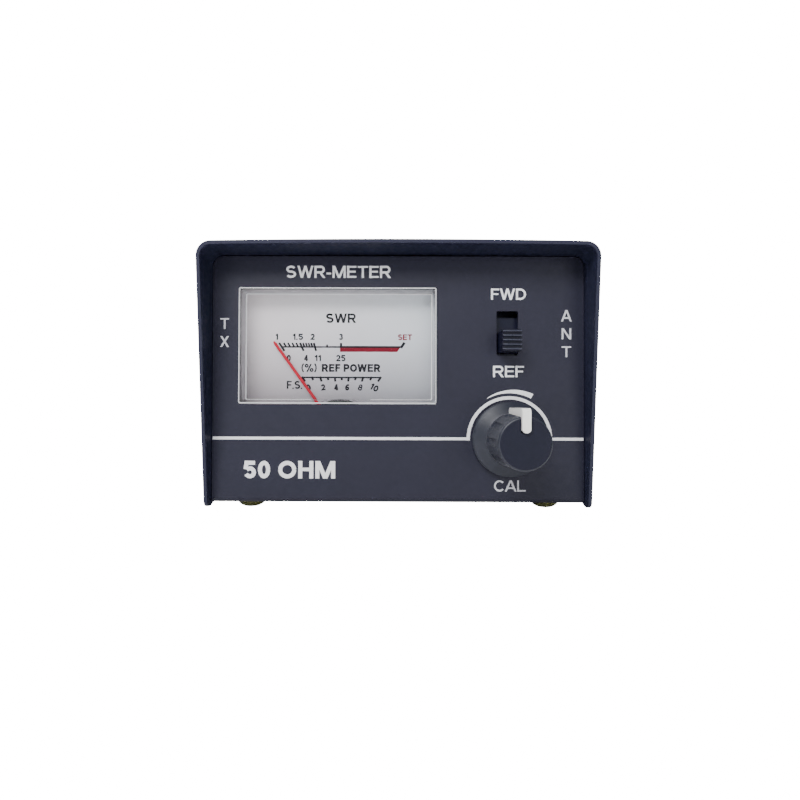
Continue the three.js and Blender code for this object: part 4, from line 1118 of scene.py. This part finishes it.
def ring(x, y, z, columns, reach):
    """Points round an axis along Y. Their reach is a function of their share of the turn."""
    points = []
    for i in range(columns):
        angle = 2 * pi * i / columns
        radius = reach(i / columns)
        points.append((x + radius * cos(angle), y, z + radius * sin(angle)))
    return points


def groove_depth(turn, y, start, end):
    """How deep the fluting is there: round grooves that are deepest near the skirt and run out forwards."""
    offset = abs((turn * FLUTES + 0.5) % 1.0 - 0.5) * 2
    across = max(0.0, 1 - (offset / 0.44) ** 2) ** 0.6
    share = min(1, max(0, (y - start) / (end - start)))
    along = (0.2 + 0.8 * smooth_step(0.1, 0.6, share)) * smooth_step(0, 0.06, share)
    return FLUTE_DEPTH * across * along * (1 - smooth_step(0.9, 1, share))


def knob_profile(front, back, groove_end):
    """Radii and depths from the cap's centre over the body and the skirt into the hollow behind."""
    skirt, body, fillet, hollow = 9.8 * MM, 6.6 * MM, 0.65 * MM, 6.2 * MM
    steps = 24
    rows = [(0.0, front), (body - 1.6 * MM, front)]
    rows += [(body - 0.95 * MM + a, front + fillet - b) for a, b in arc(0, 0, fillet, 90, 5, 8)]
    for i in range(steps + 1):
        share = i / steps
        rows.append((body - 0.28 * MM + 0.5 * MM * share, front + 0.8 * MM + share * (groove_end - front)))
    rows += [(body + 0.55 * MM, back - 3.3 * MM), (skirt - 0.7 * MM, back - 1.35 * MM),
             (skirt - 0.3 * MM, back - 1.15 * MM), (skirt, back - 0.85 * MM), (skirt, back - 0.1 * MM),
             (skirt - 0.12 * MM, back)]
    return rows + [(hollow, back), (hollow, back - 2.8 * MM), (0.0, back - 2.8 * MM)]


def make_knob():
    """A skirted knob: a cone below, a body with flutes round it, and a flat cap."""
    columns, fluted_from, shaft_hole, marker_room = 300, 5.5 * MM, 3.1 * MM, 0.06 * MM
    front, back = KNOB[0].y, KNOB[1].y
    groove_start, groove_end = front + 1.0 * MM, back - 4.3 * MM
    cap_rise, skirt_long = 0.3 * MM, 3.4 * MM
    profile = knob_profile(front, back, groove_end)
    vertices = []
    for radius, y in profile:
        fluted = radius > fluted_from and y < back - 2.9 * MM
        vertices += ring(KNOB_X, y, KNOB_Z, columns, lambda turn: radius - (
            groove_depth(turn, y, groove_start, groove_end) if fluted else 0))
    knob = from_faces("control_knob", vertices, band_faces(len(profile), columns))
    half = MARKER_HALF + marker_room
    boolean(knob, [tool(marker_outline(marker_room), KNOB_X - half, KNOB_X + half, "X"),
                   round_tool(KNOB_X, KNOB_Z, shaft_hole, front + 3.0 * MM, back + SHEET)])
    fit(shade(knob, 32), "knob_plastic", "knob", body="knob")

    def choose(side):
        """The cap is 1, a darker copy of the knob's plastic that is painted shade, and the body's side is 2,
        a lighter copy that is painted light.
        """
        if side.normal.y < -FACING and side.center.y < front + cap_rise:
            return 1
        return 2 if abs(side.normal.y) < 0.5 and side.center.y < back - skirt_long else 0

    dress_faces(knob, [KNOB_CAP_PAINTED_SHADE, KNOB_SIDE_PAINTED_LIGHT], choose)


def marker_outline(room):
    """The marker's L shape in Y and Z: along the knob's side and down over its cap."""
    corner = 1.1 * MM
    front, back, crest = MARKER[0].y - room, MARKER[1].y + room, MARKER[1].z + room
    side_low = crest - 2.6 * MM - 2 * room
    cap_back = front + 1.8 * MM + 2 * room
    tip = KNOB_Z + 2.5 * MM
    bend = arc(front + corner, crest - corner, corner, 180, 90, 6)
    heel = arc(back - corner, crest - corner, corner, 90, 0, 6)
    return [(front, tip)] + bend + heel + [(back, side_low), (cap_back, side_low), (cap_back, tip)]


def make_marker():
    """A bar bent over the knob, whose lower tip is round when seen from the front."""
    tip_z, long = KNOB_Z + 2.5 * MM, 20 * MM
    marker = prism("knob_pointer", marker_outline(0), KNOB_X - MARKER_HALF, KNOB_X + MARKER_HALF, "X")
    keep = rounded_rect(KNOB_X, tip_z + long / 2, 2 * MARKER_HALF, long, 0.99 * MARKER_HALF, 12)
    boolean(marker, [tool(keep, MARKER[0].y - SHEET, MARKER[1].y + SHEET)], "INTERSECT")
    fit(soften(marker, 0.42 * MM, 5), "white_plastic", "knob_marker", body="knob")


make_knob()
make_marker()


# ---- Coaxial sockets ----
def threaded_barrel(name, x, z, start, end):
    """The outside of the barrel is one helical thread, which runs out at both ends."""
    radius, pitch, bore = SOCKET["thread"], SOCKET["pitch"], SOCKET["bore"]
    depth, ease = 0.55 * MM, 0.5 * MM
    columns, per_turn = 96, 10
    rows = int((end - start) / pitch * per_turn)

    def thread(turn, y):
        phase = ((y - start) / pitch - turn) % 1.0
        crest = 1 - abs(2 * phase - 1)
        fade = smooth_step(start + 0.8 * MM, start + 1.6 * MM, y) * (1 - smooth_step(end - 1.1 * MM, end, y))
        chamfer = ease * smooth_step(end - 0.8 * MM, end, y)
        return radius - chamfer - depth * fade * min(1, max(0, 1.15 * crest - 0.1))

    vertices = ring(x, start, z, columns, lambda turn: bore)
    for row in range(rows + 1):
        y = start + (end - start) * row / rows
        vertices += ring(x, y, z, columns, lambda turn: thread(turn, y))
    vertices += ring(x, end, z, columns, lambda turn: bore + 0.2 * MM)
    vertices += ring(x, end - 0.3 * MM, z, columns, lambda turn: bore)
    return from_faces(name, vertices, band_faces(len(vertices) // columns, columns, True))


def make_socket(name, x, z):
    """A square flange with four holes, and a threaded barrel with four notches in its end."""
    node = name + "_socket_shell"
    low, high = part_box(node)
    plate_back = low.y + 1.6 * MM
    half, reach, notch = SOCKET["screws"] / 2, SOCKET["thread"] + SHEET, 0.8 * MM
    flange = rounded_rect(x, z, SOCKET["flange"], SOCKET["flange"], 1.2 * MM)
    plate = prism(name + "_socket", flange, low.y, plate_back)
    holes = [(x + dx, z + dz, SCREW_HOLE) for dx in (-half, half) for dz in (-half, half)]
    holes.insert(0, (x, z, SOCKET["bore"]))
    boolean(plate, [round_tool(*hole, low.y - SHEET, high.y) for hole in holes])
    soften(plate, 0.15 * MM, 3)
    barrel = threaded_barrel("barrel", x, z, plate_back - 0.2 * MM, high.y)
    boolean(barrel, [tool(bar(x - a, x + a, z - b, z + b), high.y - 1.2 * MM, high.y + SHEET)
                     for a, b in ((reach, notch), (notch, reach))])
    shade(barrel, 50)
    fit(merge(name + "_socket", [plate, barrel]), "nickel", node)


def make_dielectric(name, x, z):
    radius, hole, ease = 6.3 * MM, 2.66 * MM, 0.25 * MM
    node = name + "_socket_insulator"
    low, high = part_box(node)
    groove = high.y - 0.35 * MM
    profile = [(hole, low.y), (radius - ease, low.y), (radius, low.y + ease), (radius, high.y - ease),
               (radius - ease, high.y), (radius - 1.2 * MM, high.y), (radius - 1.4 * MM, groove),
               (hole + 1.2 * MM, groove), (hole + 1.0 * MM, high.y), (hole, high.y), (hole, low.y)]
    core = turned(name + "_dielectric", profile, 96, (x, 0, z))
    fit(shade(core, 30), "insulator_plastic", node)


def make_rear_print(words, x, width):
    """A legend over a socket. It is made facing the front and then turned round."""
    text = printed_text("rear_legend_" + words.lower(), words, 0, 0, width * MM, 3.0 * MM, 0)
    move(text, (x * MM, PANEL[1].y + PRINT - INK_SINK, panel_z(52.5)), pi, "Z")
    fit(text, "white_plastic", look=WHITE_INK)


for socket_name, socket_x, socket_z in socket_centres():
    make_socket(socket_name, socket_x, socket_z)
    make_dielectric(socket_name, socket_x, socket_z)
make_rear_print("TX", -24.0, 4.4)
make_rear_print("ANT", 24.0, 7.0)


# ---- CAD nodes that stay ----
def dress_cad_nodes():
    """Every CAD node that isn't replaced keeps its shape and gets the material of its slot."""
    slots = {part["node"]: part["material_slot"] for part in frame["record"]["subparts"]}
    for name, node in frame["nodes"].items():
        if not node.hide_render:
            node.data.materials.clear()
            node.data.materials.append(LOOKS[slots[name]].material)
            add_bevel(node, 0.05 * MM, 2, 40)


dress_cad_nodes()


# ---- Stage and light ----
BACKDROP = 17.0                 # how bright the floor and the backdrop look to the camera
AMBIENT = 0.23                  # the strength of the light from all round
LAMPS = {                       # each lamp's place and size in metres, and its power in watts
    "key": ((-0.15, -0.34, 0.34), (0.33, 0.2), 2.7),
    "left": ((-0.5, -0.7, 0.15), (0.35, 0.35), 0.6),
    "right": ((0.4, -0.7, 0.12), (0.35, 0.35), 1.3),
    "top": ((0, 0.1, 0.7), (0.8, 0.5), 3.0),
}


def floor_paper():
    """White paper that is lit from within for the camera, so that it fades into the backdrop."""
    look = Look("floor_paper", (0.92, 0.92, 0.93), 0.7).mottle(200 * MM, 0.01)
    glow = add_node(look.tree, "Emission", Strength=BACKDROP).outputs["Emission"]
    return look.show(mix_by_ray(look.tree, "Is Camera Ray", look.shader.outputs["BSDF"], glow))


def make_stage():
    half = 3.0
    floor = from_faces("floor", [(a, b, 0) for a, b in bar(-half, half, -half, half)], [[0, 1, 2, 3]])
    floor.data.materials.append(floor_paper().material)


def area_light(name, place, size, power):
    """A rectangular lamp that faces the middle of the panel."""
    data = bpy.data.lights.new(name, "AREA")
    data.shape = "RECTANGLE"
    data.size, data.size_y = size
    data.energy = power
    light = add_object(name, data)
    light.location = place
    aim = Vector((0, 0, panel_z(30))) - Vector(place)
    light.rotation_euler = aim.to_track_quat("-Z", "Y").to_euler()


def make_world():
    """Soft grey light all round, and a white backdrop where the camera looks past the object."""
    world = bpy.data.worlds.new("studio")
    bpy.context.scene.world = world
    world.use_nodes = True
    tree = world.node_tree
    ambient = tree.nodes["Background"]
    feed(tree, ambient, Color=(0.9, 0.95, 1, 1), Strength=AMBIENT)
    backdrop = add_node(tree, "Background", Color=(1, 1, 1, 1), Strength=BACKDROP)
    surface = mix_by_ray(tree, "Is Camera Ray", ambient.outputs[0], backdrop.outputs[0])
    feed(tree, tree.nodes["World Output"], Surface=surface)


make_stage()
make_world()
for lamp_name, lamp in LAMPS.items():
    area_light(lamp_name, *lamp)
